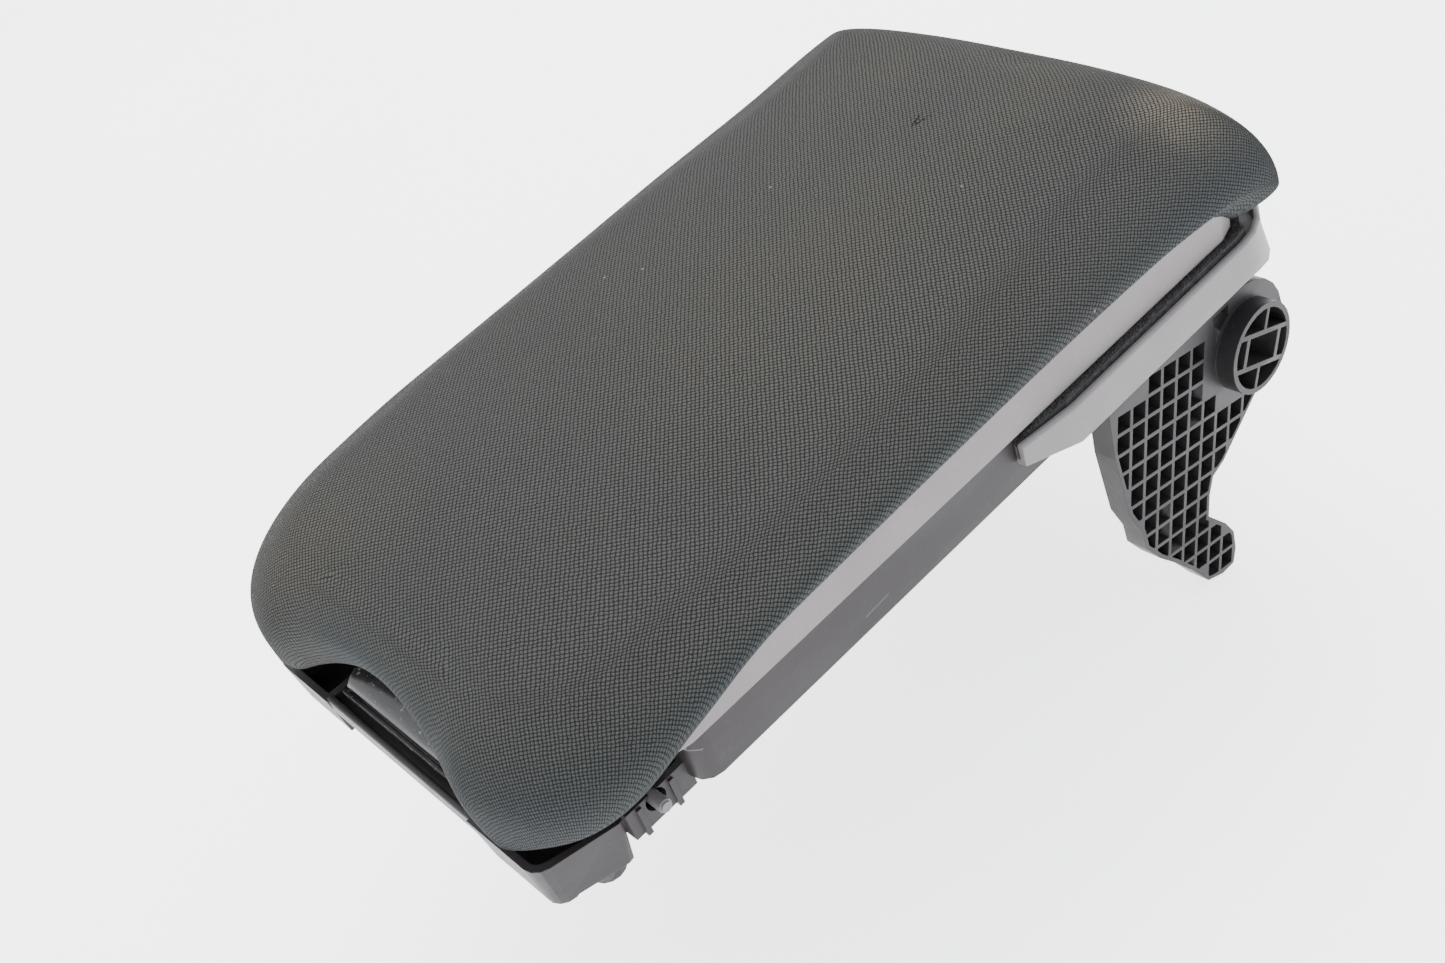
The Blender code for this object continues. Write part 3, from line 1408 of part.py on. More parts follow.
def make_bolts():
    """The side bolts, whose pegs run in the lever's cam slots."""
    center = (from_front(BOLT_FROM_FRONT), above_base(BOLT_HEIGHT))
    for name, side in SIDES:
        rod_span = sorted((side * BOLT_INNER, side * (BOLT_REACH - BOLT_TIP_LENGTH)))
        rod = prism(disc_outline(center, BOLT_RADIUS, 16), "x", *rod_span)
        tip_span = sorted((side * (BOLT_REACH - BOLT_TIP_LENGTH - JOIN / 3), side * BOLT_REACH))
        tip = prism(disc_outline(center, BOLT_RADIUS - BOLT_TIP_STEP, 16), "x", *tip_span)
        web_face = WEB_THICKNESS / 2 + RUNNING_GAP
        yoke_y = (center[0] + web_face, center[0] + web_face + YOKE_THICKNESS)
        height = (center[1] - YOKE_HALF_HEIGHT, center[1] + YOKE_HALF_HEIGHT)
        block_span = sorted((side * BOLT_INNER, side * (BOLT_INNER + YOKE_LENGTH)))
        block = box(block_span, (center[0] - YOKE_FRONT, yoke_y[1]), height)
        arm_span = sorted((side * (PEG_OFFSET - PEG_RADIUS - PEG_MARGIN), side * (BOLT_INNER + JOIN)))
        arm = box(arm_span, yoke_y, height)
        peg_end = (center[0] - web_face, yoke_y[0] + JOIN)
        peg = prism(disc_outline((side * PEG_OFFSET, center[1]), PEG_RADIUS, 10), "y", *peg_end)
        bolt = combine("latch_bolt_" + name, [rod, tip, block, arm, peg])
        smooth(bolt, 30)
        dress(bolt, "bolt_plastic")
        set_origin(bolt, side * BOLT_REACH, *center)


def main():
    for obj in list(bpy.data.objects):
        bpy.data.objects.remove(obj)
    make_base()
    make_collar()
    make_pile_strips()
    make_arms()
    make_arm_screws()
    make_rails()
    make_shoes()
    make_shell()
    make_foam()
    make_cover()
    make_lever()
    make_pivot()
    make_spring()
    make_bolts()


main()
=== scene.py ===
from math import cos, hypot, pi, radians, sin

import bmesh
import bpy
from bpy.props import FloatProperty, FloatVectorProperty, IntProperty, PointerProperty
from mathutils import Matrix, Vector


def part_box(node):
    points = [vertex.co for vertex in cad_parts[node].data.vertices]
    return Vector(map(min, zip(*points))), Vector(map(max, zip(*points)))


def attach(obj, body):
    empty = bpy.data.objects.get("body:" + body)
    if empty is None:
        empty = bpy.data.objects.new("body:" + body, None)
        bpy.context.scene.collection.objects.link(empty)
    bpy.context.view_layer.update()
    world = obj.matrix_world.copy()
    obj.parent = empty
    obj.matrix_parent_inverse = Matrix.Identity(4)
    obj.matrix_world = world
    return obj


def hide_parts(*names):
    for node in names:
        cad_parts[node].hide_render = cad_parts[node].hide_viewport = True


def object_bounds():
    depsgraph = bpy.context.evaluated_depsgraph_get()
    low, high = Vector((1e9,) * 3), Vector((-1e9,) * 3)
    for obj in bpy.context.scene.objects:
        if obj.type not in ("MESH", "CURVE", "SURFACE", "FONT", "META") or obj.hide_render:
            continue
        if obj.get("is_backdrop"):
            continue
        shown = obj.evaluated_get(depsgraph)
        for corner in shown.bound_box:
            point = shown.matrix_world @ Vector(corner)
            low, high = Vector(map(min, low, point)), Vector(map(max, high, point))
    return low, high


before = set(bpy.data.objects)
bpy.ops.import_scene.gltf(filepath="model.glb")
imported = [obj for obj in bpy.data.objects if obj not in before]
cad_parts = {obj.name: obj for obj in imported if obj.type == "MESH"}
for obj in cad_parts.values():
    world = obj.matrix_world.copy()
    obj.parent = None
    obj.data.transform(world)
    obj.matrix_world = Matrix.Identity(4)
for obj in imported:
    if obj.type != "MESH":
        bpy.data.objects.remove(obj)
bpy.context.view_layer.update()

bl_info = {
    "name": "Console armrest lid",
    "version": (1, 0, 0),
    "blender": (4, 5, 0),
    "location": "View3D > Sidebar > Armrest",
    "description": "Dresses the packed armrest lid with its knit cushion, moulded plastics and pile",
    "category": "Add Mesh",
}

# Where the lid's front bar and the underside of its tray are in the frame
FRONT_Y = -0.272
TRAY_Z = 0.025

# Bodies of the frame
FRAME = "lid_frame"
SLIDE = "armrest_slide"
LEVER = "latch_lever_body"

# How far apart points may lie that are one, and degrees that faces may tilt that are flat or smooth
SAME_PLACE = 2e-6
SAME_FLAT = 0.4
SMOOTH_ANGLE = 34.0
CRISP_ANGLE = 30.0


# Meshes

def new_piece(name, bm, material=None):
    """Turns a bmesh into an object with its place in its mesh."""
    mesh = bpy.data.meshes.new(name)
    bm.to_mesh(mesh)
    bm.free()
    piece = bpy.data.objects.new(name, mesh)
    bpy.context.scene.collection.objects.link(piece)
    if material:
        mesh.materials.append(material)
    return piece


def settle(piece):
    """Turns a piece with modifiers into a plain mesh."""
    graph = bpy.context.evaluated_depsgraph_get()
    mesh = bpy.data.meshes.new_from_object(piece.evaluated_get(graph))
    piece.modifiers.clear()
    old = piece.data
    piece.data = mesh
    mesh.name = piece.name
    bpy.data.meshes.remove(old)


def welded(node):
    """A closed copy of a CAD node's triangles, with its flat faces joined up again."""
    bm = bmesh.new()
    bm.from_mesh(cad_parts[node].data)
    bmesh.ops.remove_doubles(bm, verts=bm.verts, dist=SAME_PLACE)
    bmesh.ops.dissolve_degenerate(bm, edges=bm.edges, dist=SAME_PLACE)
    bmesh.ops.dissolve_limit(bm, angle_limit=radians(SAME_FLAT), verts=bm.verts, edges=bm.edges)
    return bm


def dressed(node, name, body, slot, material, angle=SMOOTH_ANGLE, edge=0.0):
    """A finished copy of a moulded CAD piece: smooth round parts, and its edges rounded if edge is given."""
    piece = new_piece(name, welded(node), material)
    piece.data.shade_smooth()
    piece.data.set_sharp_from_angle(angle=radians(angle))
    if edge:
        bevel = piece.modifiers.new("edges", "BEVEL")
        bevel.width = edge
        bevel.segments = 2
        bevel.limit_method = "ANGLE"
        bevel.angle_limit = radians(angle)
        bevel.use_clamp_overlap = False
    even = piece.modifiers.new("normals", "WEIGHTED_NORMAL")
    even.keep_sharp = True
    settle(piece)
    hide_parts(node)
    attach(piece, body)


def finish_node(node, material):
    """Gives a CAD node that stays its finish."""
    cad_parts[node].material_slots[0].material = material


# Nodes

def fill(tree, node, inputs):
    """Connects a node's inputs to sockets, or fills them with values."""
    for key, value in inputs.items():
        socket = node.inputs[key]
        if isinstance(value, bpy.types.NodeSocket):
            tree.links.new(value, socket)
        else:
            socket.default_value = value


def add(tree, kind, inputs=None, **settings):
    """Adds a node, sets it up and connects or fills its inputs."""
    node = tree.nodes.new(kind)
    for key, value in settings.items():
        setattr(node, key, value)
    fill(tree, node, inputs or {})
    return node


def put(tree, kind, inputs=None, **settings):
    """Adds a shader node."""
    return add(tree, "ShaderNode" + kind, inputs, **settings)


# Materials

SCRATCH_COLOR = (0.22, 0.21, 0.21)
GRIT_COLOR = (0.22, 0.21, 0.19)
LINT_COLOR = (0.20, 0.19, 0.16)
ZINC_COLOR = (0.56, 0.56, 0.57)

# Grains per metre of a moulded surface, and how far its edges look rounded
MOULD_GRAINS = 1500.0
MOULD_EDGE = 0.0004

# Soiled places on the knit: middle as (x, y), inner and outer radius, strength and colour
SOILED_PLACES = (
    ((0.000, -0.020), 0.010, 0.075, 0.55, "dust_color"),
    ((0.020, -0.110), 0.010, 0.085, 0.40, "dust_color"),
    ((-0.045, -0.245), 0.005, 0.040, 0.60, "dust_color"),
    ((0.068, 0.000), 0.002, 0.022, 0.85, "stain_color"),
)


def start_material(name, preview):
    """A new material, its node tree, its main shader and the place on the piece."""
    material = bpy.data.materials.new(name)
    material.use_nodes = True
    material.diffuse_color = (*preview, 1.0)
    tree = material.node_tree
    return material, tree, tree.nodes["Principled BSDF"], put(tree, "TexCoord").outputs["Object"]


def finish_shader(tree, shader, bump, inputs):
    """Fills the main shader's inputs, and roughens its surface with a bump of these settings."""
    fill(tree, shader, {"Normal": put(tree, "Bump", bump).outputs[0], **inputs})


def math_of(tree, operation, a, b=0.0, clamp=False):
    """A number worked out from one or two numbers."""
    return put(tree, "Math", {0: a, 1: b}, operation=operation, use_clamp=clamp).outputs[0]


def vector_of(tree, operation, a, b):
    """A vector worked out from two vectors."""
    return put(tree, "VectorMath", {0: a, 1: b}, operation=operation).outputs[0]


def measure(tree, operation, a, b):
    """A number worked out from two vectors, such as their distance."""
    return put(tree, "VectorMath", {0: a, 1: b}, operation=operation).outputs["Value"]


def scaled(tree, vector, factor):
    """A vector times a number."""
    return put(tree, "VectorMath", {0: vector, "Scale": factor}, operation="SCALE").outputs[0]


def ramp(tree, value, low, high, start=0.0, end=1.0):
    """Carries a value from low..high to start..end with soft ends."""
    node = put(
        tree, "MapRange",
        {"Value": value, "From Min": low, "From Max": high, "To Min": start, "To Max": end},
        interpolation_type="SMOOTHSTEP",
    )
    return node.outputs[0]


def mixed(tree, share, first, second, blend="MIX"):
    """Mixes two colours by a share."""
    node = put(tree, "Mix", data_type="RGBA", blend_type=blend)
    first, second = (
        value if isinstance(value, bpy.types.NodeSocket) else (*value[:3], 1.0) for value in (first, second)
    )
    fill(tree, node, {0: share, 6: first, 7: second})
    return node.outputs[2]


def noise(tree, place, scale, detail=2.0, rough=0.5):
    """A cloudy number, with its clouds per metre."""
    inputs = {"Vector": place, "Scale": scale, "Detail": detail, "Roughness": rough}
    return put(tree, "TexNoise", inputs).outputs[0]


def spot(tree, place, center, inner, outer):
    """A share that is one round a place seen from above, and falls to nothing."""
    flat = vector_of(tree, "MULTIPLY", place, (1.0, 1.0, 0.0))
    return ramp(tree, measure(tree, "DISTANCE", flat, (*center, 0.0)), outer, inner)


def stroke(tree, place, first, last, width):
    """A share that is one along a straight scratch on a side wall, given as (y, z) ends."""
    start = Vector((0.0, *first))
    way = Vector((0.0, *last)) - start
    flat = vector_of(tree, "MULTIPLY", place, (0.0, 1.0, 1.0))
    from_start = vector_of(tree, "SUBTRACT", flat, tuple(start))
    dot = measure(tree, "DOT_PRODUCT", from_start, tuple(way))
    nearest = scaled(tree, tuple(way), math_of(tree, "DIVIDE", dot, way.length_squared, clamp=True))
    return ramp(tree, measure(tree, "DISTANCE", from_start, nearest), width, width * 0.3)


def shade(color, factor, lift=0.0):
    """A colour made darker or lighter."""
    return tuple(channel * factor + lift for channel in color)


def moulded_plastic(name, color, roughness, grain=0.00005, edge=MOULD_EDGE, scratches=()):
    """Injection-moulded plastic: fine grain, cloudy gloss, worn lighter edges and handling marks."""
    material, tree, shader, place = start_material(name, color)
    clouds = noise(tree, place, 28.0, 3.0)
    smears = noise(tree, vector_of(tree, "MULTIPLY", place, (1.0, 0.25, 1.0)), 90.0, 4.0, 0.6)
    fine = noise(tree, place, MOULD_GRAINS, 2.0, 0.6)
    pits = put(tree, "TexVoronoi", {"Vector": place, "Scale": MOULD_GRAINS * 0.7}).outputs["Distance"]
    tone = mixed(tree, ramp(tree, clouds, 0.35, 0.65), shade(color, 0.93), shade(color, 1.06))
    tone = mixed(tree, ramp(tree, fine, 0.3, 0.7, 0.0, 0.22), tone, shade(color, 0.72))
    round_edge = put(tree, "Bevel", {"Radius": edge}, samples=6).outputs[0]
    flat_normal = put(tree, "NewGeometry").outputs["True Normal"]
    corner = ramp(tree, measure(tree, "DOT_PRODUCT", round_edge, flat_normal), 0.985, 0.80)
    worn = math_of(tree, "MULTIPLY", corner, ramp(tree, smears, 0.35, 0.75, 0.1, 0.5))
    tone = mixed(tree, worn, tone, shade(color, 1.6, 0.012))
    dust = ramp(tree, noise(tree, place, 420.0, 1.0), 0.70, 0.76, 0.0, 0.35)
    tone = mixed(tree, dust, tone, shade(color, 1.35, 0.008))
    for first, last, width in scratches:
        scratch = math_of(tree, "MULTIPLY", stroke(tree, place, first, last, width), 0.6)
        tone = mixed(tree, scratch, tone, SCRATCH_COLOR)
    height = math_of(tree, "ADD", fine, math_of(tree, "MULTIPLY", pits, 0.6))
    finish_shader(
        tree, shader, {"Strength": 0.6, "Distance": grain, "Height": height, "Normal": round_edge},
        {
            "Base Color": tone, "Specular IOR Level": 0.22,
            "Roughness": ramp(tree, smears, 0.3, 0.7, roughness - 0.05, roughness + 0.07),
        },
    )
    return material


def glossy_plastic(name, color):
    """The latch paddle's smooth, near black plastic with dust and fine handling scratches."""
    material, tree, shader, place = start_material(name, color)
    lines = noise(tree, vector_of(tree, "MULTIPLY", place, (0.06, 1.0, 1.0)), 900.0, 3.0, 0.7)
    film = noise(tree, place, 60.0, 4.0, 0.6)
    grit = ramp(tree, noise(tree, place, 700.0, 1.0), 0.68, 0.75, 0.0, 0.5)
    tone = mixed(tree, ramp(tree, film, 0.35, 0.7, 0.0, 0.5), color, shade(color, 1.0, 0.018))
    round_edge = put(tree, "Bevel", {"Radius": MOULD_EDGE}, samples=6).outputs[0]
    finish_shader(
        tree, shader, {"Strength": 0.4, "Distance": 0.00002, "Height": lines, "Normal": round_edge},
        {
            "Base Color": mixed(tree, grit, tone, GRIT_COLOR),
            "Roughness": ramp(tree, film, 0.3, 0.7, 0.20, 0.36),
        },
    )
    return material


def wander(tree, place, scale, reach):
    """A small random shift of the stitches, up to half its reach each way."""
    color = put(tree, "TexNoise", {"Vector": place, "Scale": scale}).outputs["Color"]
    return scaled(tree, vector_of(tree, "SUBTRACT", color, (0.5, 0.5, 0.5)), reach)


def knit_fabric(s):
    """Close knit with a brick-like stitch, dark between its stitches, dusty on top and stained in places,
    with painted shade on its sides.
    """
    material, tree, shader, place = start_material("dark_knit", s.top_color)
    millimetres = scaled(tree, put(tree, "UVMap", uv_map="knit").outputs[0], 1000.0)
    stitch_place = vector_of(tree, "ADD", millimetres, wander(tree, millimetres, 0.35, 0.9))
    stitch_place = vector_of(tree, "ADD", stitch_place, wander(tree, millimetres, 1.6, 0.35))
    across = put(tree, "SeparateXYZ", {0: stitch_place})
    x = math_of(tree, "MULTIPLY", across.outputs[0], pi / (s.stitch_width * 1000.0))
    y = math_of(tree, "MULTIPLY", across.outputs[1], pi / (s.stitch_row * 2000.0))
    one_way = math_of(tree, "ABSOLUTE", math_of(tree, "SINE", math_of(tree, "ADD", x, y)))
    other_way = math_of(tree, "ABSOLUTE", math_of(tree, "SINE", math_of(tree, "SUBTRACT", x, y)))
    loft = ramp(tree, math_of(tree, "MULTIPLY", one_way, other_way), 0.02, 0.62)
    yarn = noise(tree, vector_of(tree, "MULTIPLY", millimetres, (1.0, 2.4, 1.0)), 3.2, 3.0, 0.65)
    # Painted shade: faces that turn away from the top take a darker, bluer colour, which stands in for the
    # shade on the cushion's sides
    facing = put(tree, "SeparateXYZ", {0: put(tree, "NewGeometry").outputs["Normal"]}).outputs[2]
    clouds = noise(tree, place, 16.0, 4.0, 0.6)
    tone = mixed(tree, ramp(tree, facing, 0.35, 0.97), s.side_shade_color, s.top_color)
    tone = mixed(tree, ramp(tree, clouds, 0.35, 0.68, 0.0, 0.45), tone, shade(s.top_color, 0.78))
    for center, inner, outer, share, tint in SOILED_PLACES:
        soiled = spot(tree, place, center, inner, outer)
        patchy = math_of(tree, "MULTIPLY", soiled, ramp(tree, clouds, 0.25, 0.65))
        tone = mixed(tree, math_of(tree, "MULTIPLY", patchy, share), tone, getattr(s, tint))
    tone = mixed(tree, ramp(tree, yarn, 0.35, 0.70, 0.0, 0.55), tone, shade(s.top_color, 1.75))
    tone = mixed(tree, ramp(tree, loft, 0.0, 0.75, 0.92, 0.0), tone, s.gap_color)
    lint = put(tree, "TexVoronoi", {"Vector": millimetres, "Scale": 0.085, "Randomness": 1.0})
    chance = put(tree, "SeparateColor", {0: lint.outputs["Color"]}).outputs[0]
    kept = math_of(tree, "GREATER_THAN", chance, 0.80)
    speck = math_of(tree, "MULTIPLY", ramp(tree, lint.outputs["Distance"], 0.050, 0.022), kept)
    tone = mixed(tree, math_of(tree, "MULTIPLY", speck, 0.75), tone, LINT_COLOR)
    height = math_of(tree, "ADD", loft, math_of(tree, "MULTIPLY", yarn, 0.35))
    finish_shader(
        tree, shader, {"Strength": 1.0, "Distance": s.stitch_relief, "Height": height},
        {
            "Base Color": tone, "Roughness": 0.92, "Specular IOR Level": 0.12,
            "Sheen Weight": 0.03, "Sheen Roughness": 0.55,
        },
    )
    return material


def pile_fibre(name, color, tip_color, inner, outer):
    """Dry black bristles with paler, dusty tips along the strip's outer edge."""
    material, tree, shader, place = start_material(name, color)
    aside = math_of(tree, "ABSOLUTE", put(tree, "SeparateXYZ", {0: place}).outputs[0])
    tufts = noise(tree, place, 650.0, 2.0)
    tip = math_of(tree, "MULTIPLY", ramp(tree, aside, inner, outer), ramp(tree, tufts, 0.42, 0.62))
    finish_shader(
        tree, shader, {"Strength": 0.5, "Distance": 0.0001, "Height": noise(tree, place, 3000.0, 1.0)},
        {"Base Color": mixed(tree, tip, color, tip_color), "Roughness": 0.8, "Sheen Weight": 0.2},
    )
    return material


def zinc_steel(name):
    """Zinc-plated steel with a brushed, cloudy finish."""
    material, tree, shader, place = start_material(name, ZINC_COLOR)
    brushed = noise(tree, vector_of(tree, "MULTIPLY", place, (1.0, 0.04, 1.0)), 2200.0, 3.0)
    spangle = put(tree, "TexVoronoi", {"Vector": place, "Scale": 260.0}).outputs["Color"]
    finish_shader(
        tree, shader, {"Strength": 0.25, "Distance": 0.00003, "Height": brushed},
        {
            "Base Color": mixed(tree, 0.15, ZINC_COLOR, spangle, "OVERLAY"), "Metallic": 1.0,
            "Roughness": ramp(tree, brushed, 0.3, 0.7, 0.28, 0.48),
        },
    )
    return material


def matt_rubber(name, color):
    """Rubber with a speckled, pitted matt surface."""
    material, tree, shader, place = start_material(name, color)
    cells = put(tree, "TexVoronoi", {"Vector": place, "Scale": 1800.0}).outputs["Distance"]
    tone = mixed(tree, ramp(tree, cells, 0.1, 0.6), shade(color, 0.6), color)
    finish_shader(
        tree, shader, {"Strength": 0.6, "Distance": 0.0002, "Height": cells},
        {"Base Color": tone, "Roughness": 0.75},
    )
    return material


# Cushion form: rings from the hem over the edge to the crown, with places measured back from the front bar

FRONT_STEPS = 16
CORNER_STEPS = 14
SIDE_STEPS = 34
REAR_STEPS = 10
HEM_ANGLES = (0, 12, 24, 36, 48, 60, 75)
EDGE_ANGLES = (0, 11, 22, 33, 44, 55, 66, 78, 90)
CROWN_SHARES = (0.08, 0.17, 0.26, 0.36, 0.46, 0.56, 0.66, 0.76)

# How far inwards the crown rises, and how much more its rings draw in at the front and rear
CROWN_REACH = 0.92
CROWN_SPREAD = 0.7

# How much smaller the corners of a ring are, and how freely it follows the cover's own form
EDGE_LESS = 0.35
CROWN_LESS = 0.95
EDGE_LOOSE = 0.4
ARCH_LOOSE = (0.375, 1.0)
ARCH_POWER = 0.9

# Plan of the hem, which lies on the armrest's shell
HEM_HALF_WIDTH = 0.0839
HEM_FRONT = -0.0008
HEM_REAR = 0.2885
HEM_FRONT_CORNER = (0.0262, 0.048)
HEM_REAR_CORNER = (0.0405, 0.022)
HEM_POWER = 1.5
FABRIC_THICKNESS = 0.0009

# Rings under the cushion: how far they lie inside the hem, and their least height. The first one is level
UNDERSIDE_RINGS = ((0.030, 0.0210), (0.009, 0.0204), (0.0028, 0.0))

# Where the hem starts to rise, is steepest, levels off, starts to fall and ends its fall
HEM_STATIONS = (0.012, 0.047, 0.075, 0.225, 0.274)

# Stretches over which the sides narrow, the rear corners flare and the front arches over the notch
NARROWED = (0.010, 0.285)
FLARED = (0.240, 0.295)
FLARED_ASIDE = 0.060
ARCHED_TO = 0.060

# Shares of the length over which the waist goes over to mid length and then to the rear
WAIST_LENGTH = 0.290
WAIST_MIDDLE = (0.10, 0.37)
WAIST_REAR = (0.63, 0.90)


def plan_outline(half_width, front, rear, front_corner, rear_corner, power, bow=0.0):
    """Right half of a plan outline, from the middle of the front round to the middle of the rear."""
    points = []
    straight = half_width - front_corner[0]
    for i in range(FRONT_STEPS):
        x = straight * i / FRONT_STEPS
        points.append((x, front + bow * (x / half_width) ** 2))
    start = front + bow * (straight / half_width) ** 2
    for i in range(CORNER_STEPS):
        a = pi / 2 * i / CORNER_STEPS
        across = sin(a) ** (2 / power)
        along = 1 - cos(a) ** (2 / power)
        points.append((straight + front_corner[0] * across, start + front_corner[1] * along))
    first = start + front_corner[1]
    last = rear - rear_corner[1]
    for i in range(SIDE_STEPS):
        points.append((half_width, first + (last - first) * i / SIDE_STEPS))
    for i in range(CORNER_STEPS):
        a = pi / 2 * i / CORNER_STEPS
        points.append((half_width - rear_corner[0] * (1 - cos(a)), last + rear_corner[1] * sin(a)))
    for i in range(REAR_STEPS + 1):
        points.append(((half_width - rear_corner[0]) * (1 - i / REAR_STEPS), rear))
    return points


def both_halves(half, heights):
    """A closed ring in the frame's coordinates."""
    right = [Vector((x, FRONT_Y + y, TRAY_Z + z)) for (x, y), z in zip(half, heights)]
    left = [Vector((-p.x, p.y, p.z)) for p in reversed(right[1:-1])]
    return right + left


def top_edge(s, y):
    """Height of the cushion's upper edge, above the tray's underside."""
    share = (y - s.front) / (s.rear - s.front)
    return s.edge_front + (s.edge_rear - s.edge_front) * share


def part_way(value, first, last):
    """How far a value is from first to last, from nothing to one."""
    return min(1.0, max(0.0, (value - first) / (last - first)))


def eased(share):
    """Gives a share a soft start and end."""
    return share * share * (3 - 2 * share)


def hem_height(s, y):
    """Height of the fabric's lower edge along the side, which frames the light band."""
    low, start, shoulder, top = s.hem_heights
    rises, steepest, levels, falls, ends = HEM_STATIONS
    if y <= steepest:
        return low + (start - low) * part_way(y, rises, steepest) ** 1.8
    if y <= levels:
        return start + (shoulder - start) * sin(pi / 2 * part_way(y, steepest, levels))
    if y <= falls:
        return shoulder + (top - shoulder) * part_way(y, levels, falls)
    return top - s.hem_fall * part_way(y, falls, ends) ** 4


def crown_rise(s, inward):
    """Rise of the crown at a distance inwards from the widest part."""
    return s.crown * sin(pi / 2 * min(1.0, inward / (CROWN_REACH * s.half_width)))


def arch(x, half_width, power):
    """One in the middle of the finger notch, and nothing from its ends on."""
    u = min(1.0, abs(x) / half_width)
    return (1 - u * u) ** power


def hem_ring(s, inset):
    """Plan and heights of the hem, moved inwards under the cushion by inset."""
    half = plan_outline(
        HEM_HALF_WIDTH - inset, HEM_FRONT + inset, HEM_REAR - inset,
        (HEM_FRONT_CORNER[0], HEM_FRONT_CORNER[1] - inset),
        (HEM_REAR_CORNER[0] - inset, HEM_REAR_CORNER[1] - inset), HEM_POWER,
    )
    heights = [hem_height(s, y - inset) for _, y in half]
    for i, (x, y) in enumerate(half[: FRONT_STEPS + 2]):
        share = arch(x, s.notch_half_width, s.notch_power)
        half[i] = (x, y + s.notch_depth * share)
        heights[i] += s.notch_height * share
    return half, heights


def cushion_rings(s, shrink):
    """All rings of the cushion, from the middle of its underside to its crown."""
    hem, low = hem_ring(s, shrink)
    low = [z + shrink for z in low]

    def plan(side, front, rear, less, loose):
        """Outline of one ring. Where it is loose, it narrows at mid length and steps back at the notch."""
        keep = 1 - less
        half = plan_outline(
            s.half_width - side, s.front + front, s.rear - rear,
            (s.front_corner[0] * keep, s.front_corner[1] * keep),
            (s.rear_corner[0] * keep, s.rear_corner[1] * keep), s.corner_power, s.bow * keep,
        )
        moved = []
        for x, y in half:
            waist = sin(pi * part_way(y, *NARROWED)) ** 1.5
            aside = loose * s.narrowing * waist * (x / (s.half_width - side)) ** 3
            behind = part_way(y, *FLARED) * min(1.0, x / FLARED_ASIDE) ** 2
            notch = arch(x, s.arch_half_width, ARCH_POWER) if y < ARCHED_TO else 0.0
            step = s.arch_step * notch * part_way(loose, *ARCH_LOOSE)
            moved.append((x - aside + loose * s.rear_flare * behind, y + step))
        return moved

    wide = plan(shrink, shrink, shrink, 0.0, 1.0)
    waists = []
    for (x, y), z in zip(wide, low):
        along = y / WAIST_LENGTH
        front, middle, rear = s.waist
        share = front + (middle - front) * eased(part_way(along, *WAIST_MIDDLE))
        share += (rear - middle) * eased(part_way(along, *WAIST_REAR))
        if y < ARCHED_TO:
            share *= 1 + s.arch_lift * arch(x, s.arch_half_width, ARCH_POWER)
        waists.append(z + share * (top_edge(s, y) - z))
    rings = []
    for number, (inset, level) in enumerate(UNDERSIDE_RINGS):
        under, heights = hem_ring(s, inset)
        heights = [max(z, level) if number else level for z in heights]
        rings.append(both_halves(under, [z + FABRIC_THICKNESS for z in heights]))
    for angle in HEM_ANGLES:
        reach = sin(radians(angle))
        rise = 1 - cos(radians(angle))
        half = [(hx + (wx - hx) * reach, hy + (wy - hy) * reach) for (hx, hy), (wx, wy) in zip(hem, wide)]
        rings.append(both_halves(half, [z + (w - z) * rise for z, w in zip(low, waists)]))
    for angle in EDGE_ANGLES:
        pull = 1 - cos(radians(angle))
        half = plan(
            shrink + (s.round_side - shrink) * pull,
            shrink + (s.round_front - shrink) * pull,
            shrink + (s.round_rear - shrink) * pull, EDGE_LESS * pull, 1 - (1 - EDGE_LOOSE) * pull,
        )
        lift = sin(radians(angle))
        crown = crown_rise(s, s.round_side * pull)
        heights = [w + (top_edge(s, y) - shrink - w) * lift + crown for w, (_, y) in zip(waists, half)]
        rings.append(both_halves(half, heights))
    for share in CROWN_SHARES:
        inward = s.round_side + (s.half_width - s.round_side) * share
        spread = s.half_width * CROWN_SPREAD * share
        half = plan(
            inward, s.round_front + spread, s.round_rear + spread,
            EDGE_LESS + (CROWN_LESS - EDGE_LESS) * share, EDGE_LOOSE * (1 - share),
        )
        crown = crown_rise(s, inward) - shrink
        rings.append(both_halves(half, [top_edge(s, y) + crown for _, y in half]))
    return rings


def ring_mesh(rings):
    """Quads between the rings, and across the first and the last."""
    bm = bmesh.new()
    loops = [[bm.verts.new(point) for point in ring] for ring in rings]
    count = len(loops[0])
    for first, second in zip(loops, loops[1:]):
        for i in range(count):
            j = (i + 1) % count
            bm.faces.new((first[i], first[j], second[j], second[i]))
    half = count // 2
    for loop in (loops[0], loops[-1]):
        for i in range(half):
            corners = [loop[i], loop[i + 1], loop[count - i - 1], loop[(count - i) % count]]
            unique = list(dict.fromkeys(corners))
            if len(unique) > 2:
                bm.faces.new(unique)
    bmesh.ops.recalc_face_normals(bm, faces=bm.faces)
    return bm, loops


CLOTH_FRAMES = 20
EVENING_ROUNDS = 30
OWN_SHARE = 0.4
LEAST_SLOPE = 0.35


